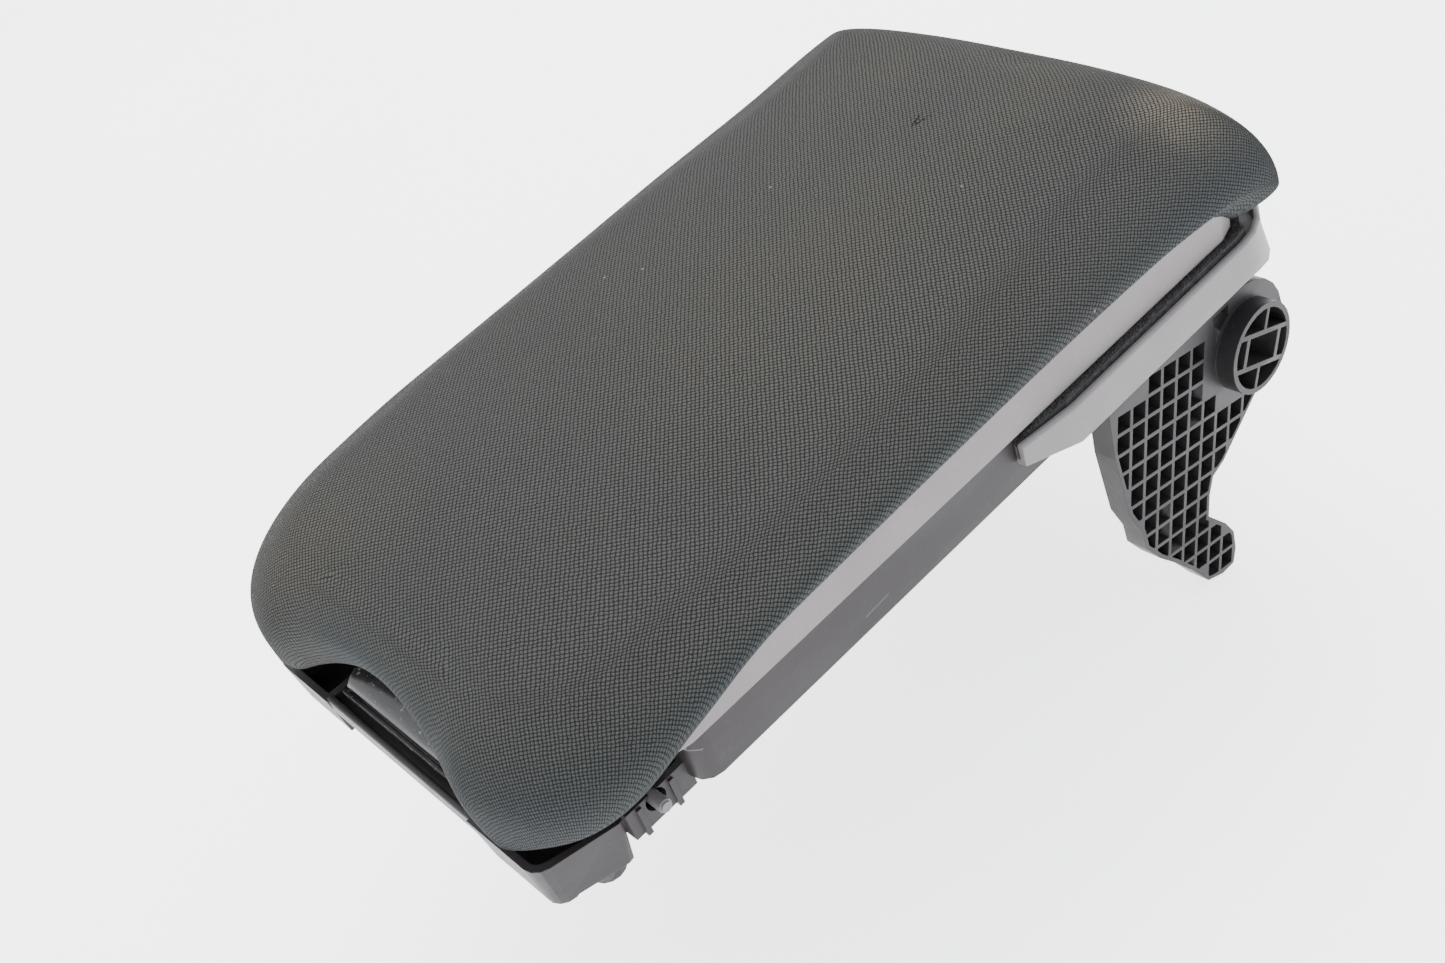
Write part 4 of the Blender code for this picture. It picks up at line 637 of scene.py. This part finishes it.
def puff_up(piece, pinned, rings, pressure, cap):
    """Blows the cover up a little against its stitched hem.

    Only the swelling itself is kept: each point moves along its normal, evened out with its
    neighbours so that no fold is left, and never further than cap. The rings from the edge to the
    middle of the crown swell more and more alike.
    """
    group = piece.vertex_groups.new(name="hem")
    for index, weight in pinned:
        group.add([index], weight, "REPLACE")
    modifier = piece.modifiers.new("stretch", "CLOTH")
    cloth = modifier.settings
    cloth.quality = 6
    cloth.mass = 0.25
    cloth.tension_stiffness = 18.0
    cloth.compression_stiffness = 18.0
    cloth.shear_stiffness = 8.0
    cloth.bending_stiffness = 1.5
    cloth.vertex_group_mass = "hem"
    cloth.use_pressure = True
    cloth.uniform_pressure_force = pressure
    cloth.effector_weights.gravity = 0.0
    modifier.point_cache.frame_start = 1
    modifier.point_cache.frame_end = CLOTH_FRAMES
    scene = bpy.context.scene
    for number in range(CLOTH_FRAMES):
        scene.frame_set(number + 1)
    graph = bpy.context.evaluated_depsgraph_get()
    moved = [vertex.co.copy() for vertex in piece.evaluated_get(graph).data.vertices]
    piece.modifiers.remove(modifier)
    piece.vertex_groups.clear()
    bm = bmesh.new()
    bm.from_mesh(piece.data)
    swell = [(target - vertex.co).dot(vertex.normal) for vertex, target in zip(bm.verts, moved)]
    held = {index for index, weight in pinned if weight == 1.0}
    around = [[edge.other_vert(vertex).index for edge in vertex.link_edges] for vertex in bm.verts]
    for _ in range(EVENING_ROUNDS):
        means = [sum(swell[j] for j in near) / len(near) for near in around]
        swell = [
            0.0 if i in held else OWN_SHARE * own + (1 - OWN_SHARE) * mean
            for i, (own, mean) in enumerate(zip(swell, means))
        ]
    swell = [min(cap, max(0.0, rise)) for rise in swell]
    for number, ring in enumerate(rings, 1):
        share = number / len(rings)
        mean = sum(swell[i] for i in ring) / len(ring)
        for i in ring:
            swell[i] += (mean - swell[i]) * share
    for vertex, rise in zip(bm.verts, swell):
        vertex.co += vertex.normal * rise
    bm.to_mesh(piece.data)
    bm.free()
    scene.frame_set(1)


def lay_knit(piece, s):
    """Unrolls the knit over the cushion: flat on top, and hanging down its sides by their height."""
    mesh = piece.data
    uv = mesh.uv_layers.new(name="knit")
    places = []
    for vertex in mesh.vertices:
        co = vertex.co
        normal = vertex.normal
        drop = max(0.0, TRAY_Z + top_edge(s, co.y - FRONT_Y) + s.crown - co.z)
        level = max(LEAST_SLOPE, hypot(normal.x, normal.y))
        places.append((co.x + drop * normal.x / level, co.y + drop * normal.y / level))
    for loop in mesh.loops:
        uv.data[loop.index].uv = places[loop.vertex_index]


# Geometry Nodes

# Bristles: radius of the tip, least and greatest size, and how far up a face points that carries them
FIBRE_TIP = 0.00002
FIBRE_SIZES = (0.55, 1.1)
LEAST_UPWARD = 0.3
FULL_TURN = 6.28

# Screw heads: facets, and their crown and recess as shares of the head's radius
HEAD_FACETS = 32
SHANK_FACETS = 20
CROWN_SHARE = 0.72
RECESS_REACH = 1.15


def new_tree(name, inputs):
    """A Geometry Nodes tree with a geometry input and named inputs for its sizes."""
    tree = bpy.data.node_groups.new(name, "GeometryNodeTree")
    tree.interface.new_socket("Geometry", in_out="INPUT", socket_type="NodeSocketGeometry")
    tree.interface.new_socket("Geometry", in_out="OUTPUT", socket_type="NodeSocketGeometry")
    for label, kind in inputs:
        tree.interface.new_socket(label, in_out="INPUT", socket_type="NodeSocket" + kind)
    return tree, tree.nodes.new("NodeGroupInput").outputs, tree.nodes.new("NodeGroupOutput").inputs


def join(tree, *parts):
    """Several meshes as one."""
    joined = add(tree, "GeometryNodeJoinGeometry")
    for part in parts:
        tree.links.new(part, joined.inputs[0])
    return joined.outputs[0]


def scatter(tree, inputs):
    """Copies on points, as real meshes."""
    copies = add(tree, "GeometryNodeInstanceOnPoints", inputs).outputs[0]
    return add(tree, "GeometryNodeRealizeInstances", {0: copies}).outputs[0]


def end_tree(tree, mesh, given, result):
    """Gives the mesh its finish and hands it out."""
    finished = add(tree, "GeometryNodeSetMaterial", {"Geometry": mesh, "Material": given["Finish"]})
    tree.links.new(finished.outputs[0], result[0])
    return tree


def run_tree(piece, tree, values):
    """Runs the tree on a piece with these values for its named inputs, and leaves a plain mesh."""
    modifier = piece.modifiers.new(tree.name, "NODES")
    modifier.node_group = tree
    for item in tree.interface.items_tree:
        if item.item_type == "SOCKET" and item.in_out == "INPUT" and item.name in values:
            modifier[item.identifier] = values[item.name]
    settle(piece)


def bristle_tree():
    """Scatters leaning fibres over the upper faces of a strip, and keeps the strip as their root."""
    tree, given, result = new_tree(
        "bristles",
        (
            ("Fibres per square metre", "Float"), ("Fibre length", "Float"), ("Fibre radius", "Float"),
            ("Lean", "Float"), ("Seed", "Int"), ("Finish", "Material"),
        ),
    )
    normal = add(tree, "GeometryNodeInputNormal").outputs[0]
    upward = put(tree, "SeparateXYZ", {0: normal}).outputs[2]
    chosen = add(
        tree, "FunctionNodeCompare", {0: upward, 1: LEAST_UPWARD}, operation="GREATER_THAN",
    ).outputs[0]
    points = add(
        tree, "GeometryNodeDistributePointsOnFaces",
        {
            "Mesh": given["Geometry"], "Selection": chosen,
            "Density": given["Fibres per square metre"], "Seed": given["Seed"],
        },
    )
    fibre = add(
        tree, "GeometryNodeMeshCone",
        {
            "Vertices": 3, "Radius Top": FIBRE_TIP,
            "Radius Bottom": given["Fibre radius"], "Depth": given["Fibre length"],
        },
        fill_type="NONE",
    ).outputs["Mesh"]
    lean = math_of(tree, "MULTIPLY", given["Lean"], -1.0)
    low = put(tree, "CombineXYZ", {0: lean, 1: lean, 2: 0.0}).outputs[0]
    high = put(tree, "CombineXYZ", {0: given["Lean"], 1: given["Lean"], 2: FULL_TURN}).outputs[0]
    turn = add(
        tree, "FunctionNodeRandomValue", {0: low, 1: high, "Seed": given["Seed"]}, data_type="FLOAT_VECTOR",
    ).outputs[0]
    least, most = FIBRE_SIZES
    size = add(
        tree, "FunctionNodeRandomValue", {2: least, 3: most, "Seed": given["Seed"]}, data_type="FLOAT",
    ).outputs[1]
    fibres = scatter(
        tree, {"Points": points.outputs["Points"], "Instance": fibre, "Rotation": turn, "Scale": size},
    )
    return end_tree(tree, join(tree, given["Geometry"], fibres), given, result)


def screw_tree():
    """Puts a pan-head screw with a cross recess on every point."""
    tree, given, result = new_tree(
        "screws",
        (
            ("Head radius", "Float"), ("Head height", "Float"), ("Shank radius", "Float"),
            ("Shank length", "Float"), ("Recess width", "Float"), ("Facing", "Vector"),
            ("Finish", "Material"),
        ),
    )

    def part_of(name, factor):
        """One of the given sizes times a factor."""
        return math_of(tree, "MULTIPLY", given[name], factor)

    def raised(mesh, height):
        """A mesh moved up by a height."""
        at = put(tree, "CombineXYZ", {2: height}).outputs[0]
        return add(tree, "GeometryNodeTransform", {"Geometry": mesh, "Translation": at}).outputs[0]

    half = part_of("Head height", 0.5)
    rim = {"Vertices": HEAD_FACETS, "Depth": half}
    base = add(tree, "GeometryNodeMeshCylinder", {**rim, "Radius": given["Head radius"]}).outputs["Mesh"]
    radii = {"Radius Top": part_of("Head radius", CROWN_SHARE), "Radius Bottom": given["Head radius"]}
    dome = add(tree, "GeometryNodeMeshCone", {**rim, **radii}).outputs["Mesh"]
    head = add(tree, "GeometryNodeMeshBoolean", operation="UNION")
    tree.links.new(raised(base, part_of("Head height", 0.25)), head.inputs["Mesh 2"])
    tree.links.new(raised(dome, half), head.inputs["Mesh 2"])
    cut = add(tree, "GeometryNodeMeshBoolean", {"Mesh 1": head.outputs["Mesh"]}, operation="DIFFERENCE")
    long = part_of("Head radius", RECESS_REACH)
    for x, y in ((long, given["Recess width"]), (given["Recess width"], long)):
        size = put(tree, "CombineXYZ", {0: x, 1: y, 2: given["Head height"]}).outputs[0]
        blade = add(tree, "GeometryNodeMeshCube", {"Size": size}).outputs["Mesh"]
        tree.links.new(raised(blade, given["Head height"]), cut.inputs["Mesh 2"])
    shank = add(
        tree, "GeometryNodeMeshCylinder",
        {"Vertices": SHANK_FACETS, "Radius": given["Shank radius"], "Depth": given["Shank length"]},
    ).outputs["Mesh"]
    shank = raised(shank, part_of("Shank length", -0.5))
    screw = join(tree, cut.outputs["Mesh"], shank)
    points = add(tree, "GeometryNodeMeshToPoints", {"Mesh": given["Geometry"]}).outputs[0]
    screws = scatter(tree, {"Points": points, "Instance": screw, "Rotation": given["Facing"]})
    return end_tree(tree, screws, given, result)


# Settings

def metres(name, description, default, **more):
    """A property for a length, or for a few lengths that belong together."""
    more.update(name=name, description=description, default=default, unit="LENGTH")
    if isinstance(default, tuple):
        return FloatVectorProperty(size=len(default), **more)
    return FloatProperty(**more)


def paint(name, description, default):
    """A property for a colour."""
    return FloatVectorProperty(name=name, description=description, default=default, subtype="COLOR")


class CushionSettings(bpy.types.PropertyGroup):
    half_width: metres("Half width", "Half of the cushion's width at its ends", 0.0894)
    front: metres("Front", "Front of the cushion, measured back from the front bar", -0.0027)
    rear: metres("Rear", "Rear of the cushion, measured back from the front bar", 0.2971)
    narrowing: metres("Narrowing", "How much narrower each side is at mid length", 0.0012)
    rear_flare: metres("Rear flare", "How much wider each rear corner is", 0.0040)
    edge_front: metres("Edge height, front", "Height of the upper edge at the front", 0.0369)
    edge_rear: metres("Edge height, rear", "Height of the upper edge at the rear", 0.0551)
    crown: metres("Crown", "Rise of the middle above the upper edge", 0.0061)
    bow: metres("Bow", "How far the front falls back towards its corners", 0.0028)
    corner_power: FloatProperty(
        name="Corner form", description="Two is an ellipse, more is squarer", default=2.51,
    )
    front_corner: metres("Front corner", "Width and length of a front corner", (0.0477, 0.0578))
    rear_corner: metres("Rear corner", "Width and length of a rear corner", (0.0790, 0.0131))
    round_side: metres("Side rounding", "Rounding of the upper edge at the sides", 0.0240)
    round_front: metres("Front rounding", "Rounding of the upper edge at the front", 0.0169)
    round_rear: metres("Rear rounding", "Rounding of the upper edge at the rear", 0.0153)
    waist: FloatVectorProperty(
        name="Waist",
        description="Height of the widest part at the front, mid length and rear, as a share of the side",
        size=3, default=(0.39, 0.42, 0.15),
    )
    hem_heights: metres(
        "Hem heights", "Height of the hem at the front, and at the start, shoulder and top of the band",
        (0.0070, 0.0238, 0.0289, 0.0322),
    )
    hem_fall: metres("Hem fall", "How far the hem falls behind the band", 0.0152)
    notch_half_width: metres("Notch half width", "Half width of the finger notch", 0.0517)
    notch_depth: metres("Notch depth", "How far the hem steps back in the notch", 0.0143)
    notch_height: metres("Notch height", "How far the hem rises in the notch", 0.0133)
    notch_power: FloatProperty(
        name="Notch form", description="Below one is steeper at the notch's ends", default=1.04,
    )
    arch_half_width: metres("Arch half width", "Half width of the arch above the notch", 0.0469)
    arch_step: metres("Arch step", "How far the cushion's front steps back in the arch", 0.0107)
    arch_lift: FloatProperty(
        name="Arch lift", description="How much the widest part rises in the arch, as a share",
        default=0.56,
    )
    pressure: FloatProperty(
        name="Pressure", description="Pressure that swells the cover", default=3.0, min=0.0,
    )
    swell: metres("Most swelling", "The furthest that a point of the cover may move", 0.0014)
    stitch_width: metres("Stitch width", "Width of one stitch", 0.00175)
    stitch_row: metres("Stitch row", "Distance between rows of stitches", 0.00085)
    stitch_relief: metres("Stitch relief", "Height of a stitch above the gaps", 0.00035)
    top_color: paint("Top", "Colour of the knit on top", (0.046, 0.046, 0.0425))
    # Painted shade: the darker, bluer colour that the knit's sides get in place of their shade
    side_shade_color: paint("Sides", "Colour of the knit on the sides", (0.022, 0.0275, 0.0315))
    dust_color: paint("Dust", "Colour of the brown dust", (0.080, 0.066, 0.046))
    stain_color: paint("Stain", "Colour of the tan stain", (0.165, 0.138, 0.098))
    gap_color: paint("Gaps", "Colour between the stitches", (0.005, 0.006, 0.006))


class PlasticSettings(bpy.types.PropertyGroup):
    band_color: paint("Band", "Colour of the armrest's light band", (0.165, 0.149, 0.151))
    collar_color: paint("Collar", "Colour of the rear collar", (0.150, 0.138, 0.139))
    tray_color: paint("Tray", "Colour of the tray and its blocks", (0.0215, 0.0182, 0.0190))
    arm_color: paint("Arms", "Colour of the hinge arms", (0.0135, 0.0118, 0.0125))
    bolt_color: paint("Bolts", "Colour of the latch bolts", (0.130, 0.122, 0.128))
    paddle_color: paint("Paddle", "Colour of the latch paddle", (0.018, 0.0165, 0.0165))
    roughness: FloatProperty(
        name="Roughness", description="Roughness of the moulded plastics", default=0.46, min=0.1, max=0.9,
    )


class PileSettings(bpy.types.PropertyGroup):
    density: FloatProperty(
        name="Fibres", description="Fibres per square metre of strip", default=1.6e7, min=0.0,
    )
    length: metres("Fibre length", "Length of one fibre", 0.0019)
    radius: metres("Fibre radius", "Radius of a fibre at its root", 0.00009, precision=6)
    lean: FloatProperty(name="Lean", description="Greatest lean of a fibre", default=0.6, subtype="ANGLE")
    seed: IntProperty(name="Seed", description="Seed of the scatter", default=7)


class StageSettings(bpy.types.PropertyGroup):
    place: metres("Camera place", "Where the camera stands", (0.33592, -0.33295, 0.33771))
    azimuth: FloatProperty(
        name="Azimuth", description="Turn of the camera round the lid",
        default=radians(60.643), subtype="ANGLE",
    )
    elevation: FloatProperty(
        name="Elevation", description="Height of the camera above the lid's level",
        default=radians(39.193), subtype="ANGLE",
    )
    roll: FloatProperty(
        name="Roll", description="Turn of the camera about its own line of sight",
        default=radians(-21.497), subtype="ANGLE",
    )
    focal_length: FloatProperty(
        name="Focal length", description="In millimetres on a 36 mm wide sensor", default=41.107,
    )


# Operators

# Rings of the cushion from its underside on: those that are held, then those that fold round the hem
HELD_RINGS = 5
FOLD_RINGS = 2
FOLD_HOLD = 0.6

# Scratches on the tray's right wall: ends as (y, z), and half width
TRAY_SCRATCHES = (
    ((-0.2250, 0.0408), (-0.2255, 0.0368), 0.00022),
    ((-0.2255, 0.0368), (-0.2225, 0.0362), 0.00018),
    ((-0.1650, 0.0300), (-0.1560, 0.0306), 0.00010),
)

# Pile colours, and where its tips turn pale: inside and past the strip's outer edge
PILE_COLOR = (0.004, 0.0038, 0.0038)
PILE_TIP_COLOR = (0.085, 0.08, 0.078)
PALE_INSIDE = 0.0010
PALE_OUTSIDE = 0.0004

# Fine edges of the collar and the arms, and the finer grain of the bolts and shoes
FINE_EDGE = 0.0003
FINE_GRAIN = 0.00002
BOLT_ROUGHNESS = 0.40
SHOE_ROUGHNESS = 0.38
SHOE_COLOR = (0.56, 0.55, 0.51)
BUFFER_COLOR = (0.022, 0.022, 0.022)

# Sizes of the screws
HEAD_RADIUS = 0.0032
HEAD_HEIGHT = 0.0016
SHANK_RADIUS = 0.0015
RECESS_WIDTH = 0.0009

# Screws of one kind: their name, their body and whether their heads are on top
SCREW_GROUPS = (("arm_screw", FRAME, False), ("rail_screw", FRAME, True), ("shoe_screw", SLIDE, True))

# Floor, backdrop and camera
FLOOR_REACH = 6.0
FLOOR_GAP = 0.0004
FLOOR_COLORS = ((0.86, 0.865, 0.88), (0.90, 0.90, 0.905))
FLOOR_GLOW = 2.3
STUDIO_COLOR = (0.93, 0.96, 1.0, 1.0)
STUDIO_STRENGTH = 2.0
SENSOR_WIDTH = 36.0
NEAREST_SEEN = 0.01

# Name, place, size, power and colour of each light, and the point that they face
LIGHTS = (
    ("key", (-0.7, 0.3, 1.3), 1.2, 32.0, (1.0, 0.985, 0.96)),
    ("fill", (1.2, -0.9, 0.7), 1.0, 8.0, (0.94, 0.97, 1.0)),
)
LIT_POINT = (0.0, -0.13, 0.0)


class ARMREST_OT_cushion(bpy.types.Operator):
    """Makes the padded, knitted cushion"""
    bl_idname = "armrest.cushion"
    bl_label = "Cushion"

    def execute(self, context):
        s = context.scene.armrest_cushion
        bm, loops = ring_mesh(cushion_rings(s, s.swell / 2))
        bm.verts.index_update()
        rings = [[vertex.index for vertex in loop] for loop in loops]
        pinned = [(i, 1.0) for ring in rings[:HELD_RINGS] for i in ring]
        pinned += [(i, FOLD_HOLD) for ring in rings[HELD_RINGS:HELD_RINGS + FOLD_RINGS] for i in ring]
        piece = new_piece("armrest_cushion", bm, knit_fabric(s))
        puff_up(piece, pinned, rings[-len(CROWN_SHARES):], s.pressure, s.swell)
        finer = piece.modifiers.new("finer", "SUBSURF")
        finer.levels = 2
        finer.render_levels = 2
        settle(piece)
        piece.data.shade_smooth()
        lay_knit(piece, s)
        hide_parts("armrest_cover", "armrest_foam")
        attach(piece, SLIDE)
        return {"FINISHED"}


class ARMREST_OT_band(bpy.types.Operator):
    """Finishes the armrest shell, whose rim shows as the light band"""
    bl_idname = "armrest.band"
    bl_label = "Light band"

    def execute(self, context):
        s = context.scene.armrest_plastic
        finish = moulded_plastic("band_plastic", s.band_color, s.roughness)
        dressed("armrest_shell", "armrest_band", SLIDE, "band_plastic", finish, angle=CRISP_ANGLE)
        return {"FINISHED"}


class ARMREST_OT_tray(bpy.types.Operator):
    """Finishes the tray with its nose, corner blocks and lip"""
    bl_idname = "armrest.tray"
    bl_label = "Tray"

    def execute(self, context):
        s = context.scene.armrest_plastic
        finish = moulded_plastic("tray_plastic", s.tray_color, s.roughness, scratches=TRAY_SCRATCHES)
        dressed("lid_base", "lid_tray", FRAME, "base_plastic", finish)
        return {"FINISHED"}


class ARMREST_OT_collar(bpy.types.Operator):
    """Finishes the light collar round the rear of the tray"""
    bl_idname = "armrest.collar"
    bl_label = "Rear collar"

    def execute(self, context):
        s = context.scene.armrest_plastic
        finish = moulded_plastic("collar_plastic", s.collar_color, s.roughness)
        edges = {"angle": CRISP_ANGLE, "edge": FINE_EDGE}
        dressed("rear_collar", "tray_collar", FRAME, "collar_plastic", finish, **edges)
        return {"FINISHED"}


class ARMREST_OT_pile(bpy.types.Operator):
    """Grows the bristles of the two pile strips on the collar's ledge"""
    bl_idname = "armrest.pile"
    bl_label = "Pile strips"

    def execute(self, context):
        s = context.scene.armrest_pile
        tree = bristle_tree()
        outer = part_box("pile_strip_right")[1].x
        pale = (outer - PALE_INSIDE, outer + PALE_OUTSIDE)
        finish = pile_fibre("black_pile", PILE_COLOR, PILE_TIP_COLOR, *pale)
        for side in ("left", "right"):
            piece = new_piece("pile_bristles_" + side, welded("pile_strip_" + side), finish)
            values = {
                "Fibres per square metre": s.density, "Fibre length": s.length, "Fibre radius": s.radius,
                "Lean": s.lean, "Seed": s.seed, "Finish": finish,
            }
            run_tree(piece, tree, values)
            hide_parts("pile_strip_" + side)
            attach(piece, FRAME)
        return {"FINISHED"}


class ARMREST_OT_arms(bpy.types.Operator):
    """Finishes the two ribbed hinge arms"""
    bl_idname = "armrest.arms"
    bl_label = "Hinge arms"

    def execute(self, context):
        s = context.scene.armrest_plastic
        finish = moulded_plastic("arm_plastic", s.arm_color, s.roughness, edge=FINE_EDGE)
        for side in ("left", "right"):
            node = "hinge_arm_" + side
            dressed(node, "ribbed_arm_" + side, FRAME, "arm_plastic", finish, angle=CRISP_ANGLE)
        return {"FINISHED"}


class ARMREST_OT_latch(bpy.types.Operator):
    """Finishes the latch: its paddle, pivot pin, spring and side bolts"""
    bl_idname = "armrest.latch"
    bl_label = "Latch"

    def execute(self, context):
        s = context.scene.armrest_plastic
        finish = glossy_plastic("paddle_plastic", s.paddle_color)
        dressed("latch_lever", "latch_paddle", LEVER, "latch_plastic", finish)
        finish = moulded_plastic("bolt_plastic", s.bolt_color, BOLT_ROUGHNESS, grain=FINE_GRAIN)
        for side in ("left", "right"):
            dressed("latch_bolt_" + side, "side_bolt_" + side, "bolt_" + side, "bolt_plastic", finish)
        steel = zinc_steel("zinc_steel")
        finish_node("latch_pivot_pin", steel)
        finish_node("latch_spring", steel)
        return {"FINISHED"}


class ARMREST_OT_hardware(bpy.types.Operator):
    """Makes the screws, and finishes the rails, shoes and buffers"""
    bl_idname = "armrest.hardware"
    bl_label = "Screws and rails"

    def execute(self, context):
        tree = screw_tree()
        steel = zinc_steel("screw_steel")
        for label, body, upward in SCREW_GROUPS:
            nodes = [f"{label}_{side}_{end}" for side in ("left", "right") for end in ("front", "rear")]
            bm = bmesh.new()
            for node in nodes:
                low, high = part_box(node)
                seat = high.z - HEAD_HEIGHT if upward else low.z + HEAD_HEIGHT
                bm.verts.new(((low.x + high.x) / 2, (low.y + high.y) / 2, seat))
            low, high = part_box(nodes[0])
            piece = new_piece(label + "s", bm, steel)
            values = {
                "Head radius": HEAD_RADIUS, "Head height": HEAD_HEIGHT, "Shank radius": SHANK_RADIUS,
                "Shank length": high.z - low.z - HEAD_HEIGHT, "Recess width": RECESS_WIDTH,
                "Facing": (0.0 if upward else pi, 0.0, 0.0), "Finish": steel,
            }
            run_tree(piece, tree, values)
            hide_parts(*nodes)
            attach(piece, body)
        rubber = matt_rubber("buffer_rubber", BUFFER_COLOR)
        shoe = moulded_plastic("shoe_plastic", SHOE_COLOR, SHOE_ROUGHNESS, grain=FINE_GRAIN)
        for side in ("left", "right"):
            finish_node("slide_rail_" + side, steel)
            for end in ("front", "rear"):
                finish_node(f"slide_buffer_{side}_{end}", rubber)
                finish_node(f"slide_shoe_{side}_{end}", shoe)
        return {"FINISHED"}


def add_light(name, place, size, power, color):
    """A soft square light that faces the lid."""
    data = bpy.data.lights.new(name, "AREA")
    data.shape = "SQUARE"
    data.size = size
    data.energy = power
    data.color = color
    light = bpy.data.objects.new(name, data)
    bpy.context.scene.collection.objects.link(light)
    light.location = place
    light.rotation_euler = (Vector(LIT_POINT) - Vector(place)).to_track_quat("-Z", "Y").to_euler()


class ARMREST_OT_stage(bpy.types.Operator):
    """Makes the pale floor, the soft light and the camera"""
    bl_idname = "armrest.stage"
    bl_label = "Stage"

    def execute(self, context):
        s = context.scene.armrest_stage
        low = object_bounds()[0]
        bm = bmesh.new()
        bmesh.ops.create_grid(bm, x_segments=1, y_segments=1, size=FLOOR_REACH)
        bmesh.ops.translate(bm, verts=bm.verts, vec=(0.0, 0.0, low.z - FLOOR_GAP))
        material, tree, shader, place = start_material("pale_floor", FLOOR_COLORS[1])
        tone = mixed(tree, ramp(tree, noise(tree, place, 3.0, 2.0), 0.3, 0.7), *FLOOR_COLORS)
        glow = {"Emission Color": (0.98, 0.99, 1.0, 1.0), "Emission Strength": FLOOR_GLOW}
        fill(tree, shader, {"Base Color": tone, "Roughness": 0.6, **glow})
        new_piece("floor", bm, material)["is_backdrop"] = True
        world = bpy.data.worlds.new("studio")
        world.use_nodes = True
        backdrop = world.node_tree.nodes["Background"]
        backdrop.inputs["Color"].default_value = STUDIO_COLOR
        backdrop.inputs["Strength"].default_value = STUDIO_STRENGTH
        context.scene.world = world
        for light in LIGHTS:
            add_light(*light)
        camera = bpy.data.objects.new("camera", bpy.data.cameras.new("camera"))
        context.scene.collection.objects.link(camera)
        camera.data.sensor_width = SENSOR_WIDTH
        camera.data.lens = s.focal_length
        camera.data.clip_start = NEAREST_SEEN
        back = Vector((sin(s.azimuth), -cos(s.azimuth), 0.0)) * cos(s.elevation)
        back.z = sin(s.elevation)
        level = Vector((cos(s.azimuth), sin(s.azimuth), 0.0))
        right = level * cos(s.roll) + back.cross(level) * sin(s.roll)
        turned = Matrix((right, back.cross(right), back)).transposed().to_4x4()
        camera.matrix_world = Matrix.Translation(s.place) @ turned
        context.scene.camera = camera
        return {"FINISHED"}


class ARMREST_PT_panel(bpy.types.Panel):
    """Lists the pieces of the armrest lid"""
    bl_idname = "ARMREST_PT_panel"
    bl_label = "Armrest lid"
    bl_space_type = "VIEW_3D"
    bl_region_type = "UI"
    bl_category = "Armrest"

    def draw(self, context):
        for operator in OPERATORS:
            self.layout.operator(operator.bl_idname)
        for name in SETTINGS:
            group = getattr(context.scene, name)
            column = self.layout.column()
            column.label(text=name.replace("_", " "))
            for key in group.__annotations__:
                column.prop(group, key)


SETTINGS = {
    "armrest_cushion": CushionSettings,
    "armrest_plastic": PlasticSettings,
    "armrest_pile": PileSettings,
    "armrest_stage": StageSettings,
}
OPERATORS = (
    ARMREST_OT_cushion,
    ARMREST_OT_band,
    ARMREST_OT_tray,
    ARMREST_OT_collar,
    ARMREST_OT_pile,
    ARMREST_OT_arms,
    ARMREST_OT_latch,
    ARMREST_OT_hardware,
    ARMREST_OT_stage,
)


def register():
    for cls in (*SETTINGS.values(), *OPERATORS, ARMREST_PT_panel):
        bpy.utils.register_class(cls)
    for name, cls in SETTINGS.items():
        setattr(bpy.types.Scene, name, PointerProperty(type=cls))


def unregister():
    for name in SETTINGS:
        delattr(bpy.types.Scene, name)
    for cls in reversed((*SETTINGS.values(), *OPERATORS, ARMREST_PT_panel)):
        bpy.utils.unregister_class(cls)


def main():
    register()
    for call in (
        bpy.ops.armrest.cushion,
        bpy.ops.armrest.band,
        bpy.ops.armrest.tray,
        bpy.ops.armrest.collar,
        bpy.ops.armrest.pile,
        bpy.ops.armrest.arms,
        bpy.ops.armrest.latch,
        bpy.ops.armrest.hardware,
        bpy.ops.armrest.stage,
    ):
        call()


if __name__ == "__main__":
    main()
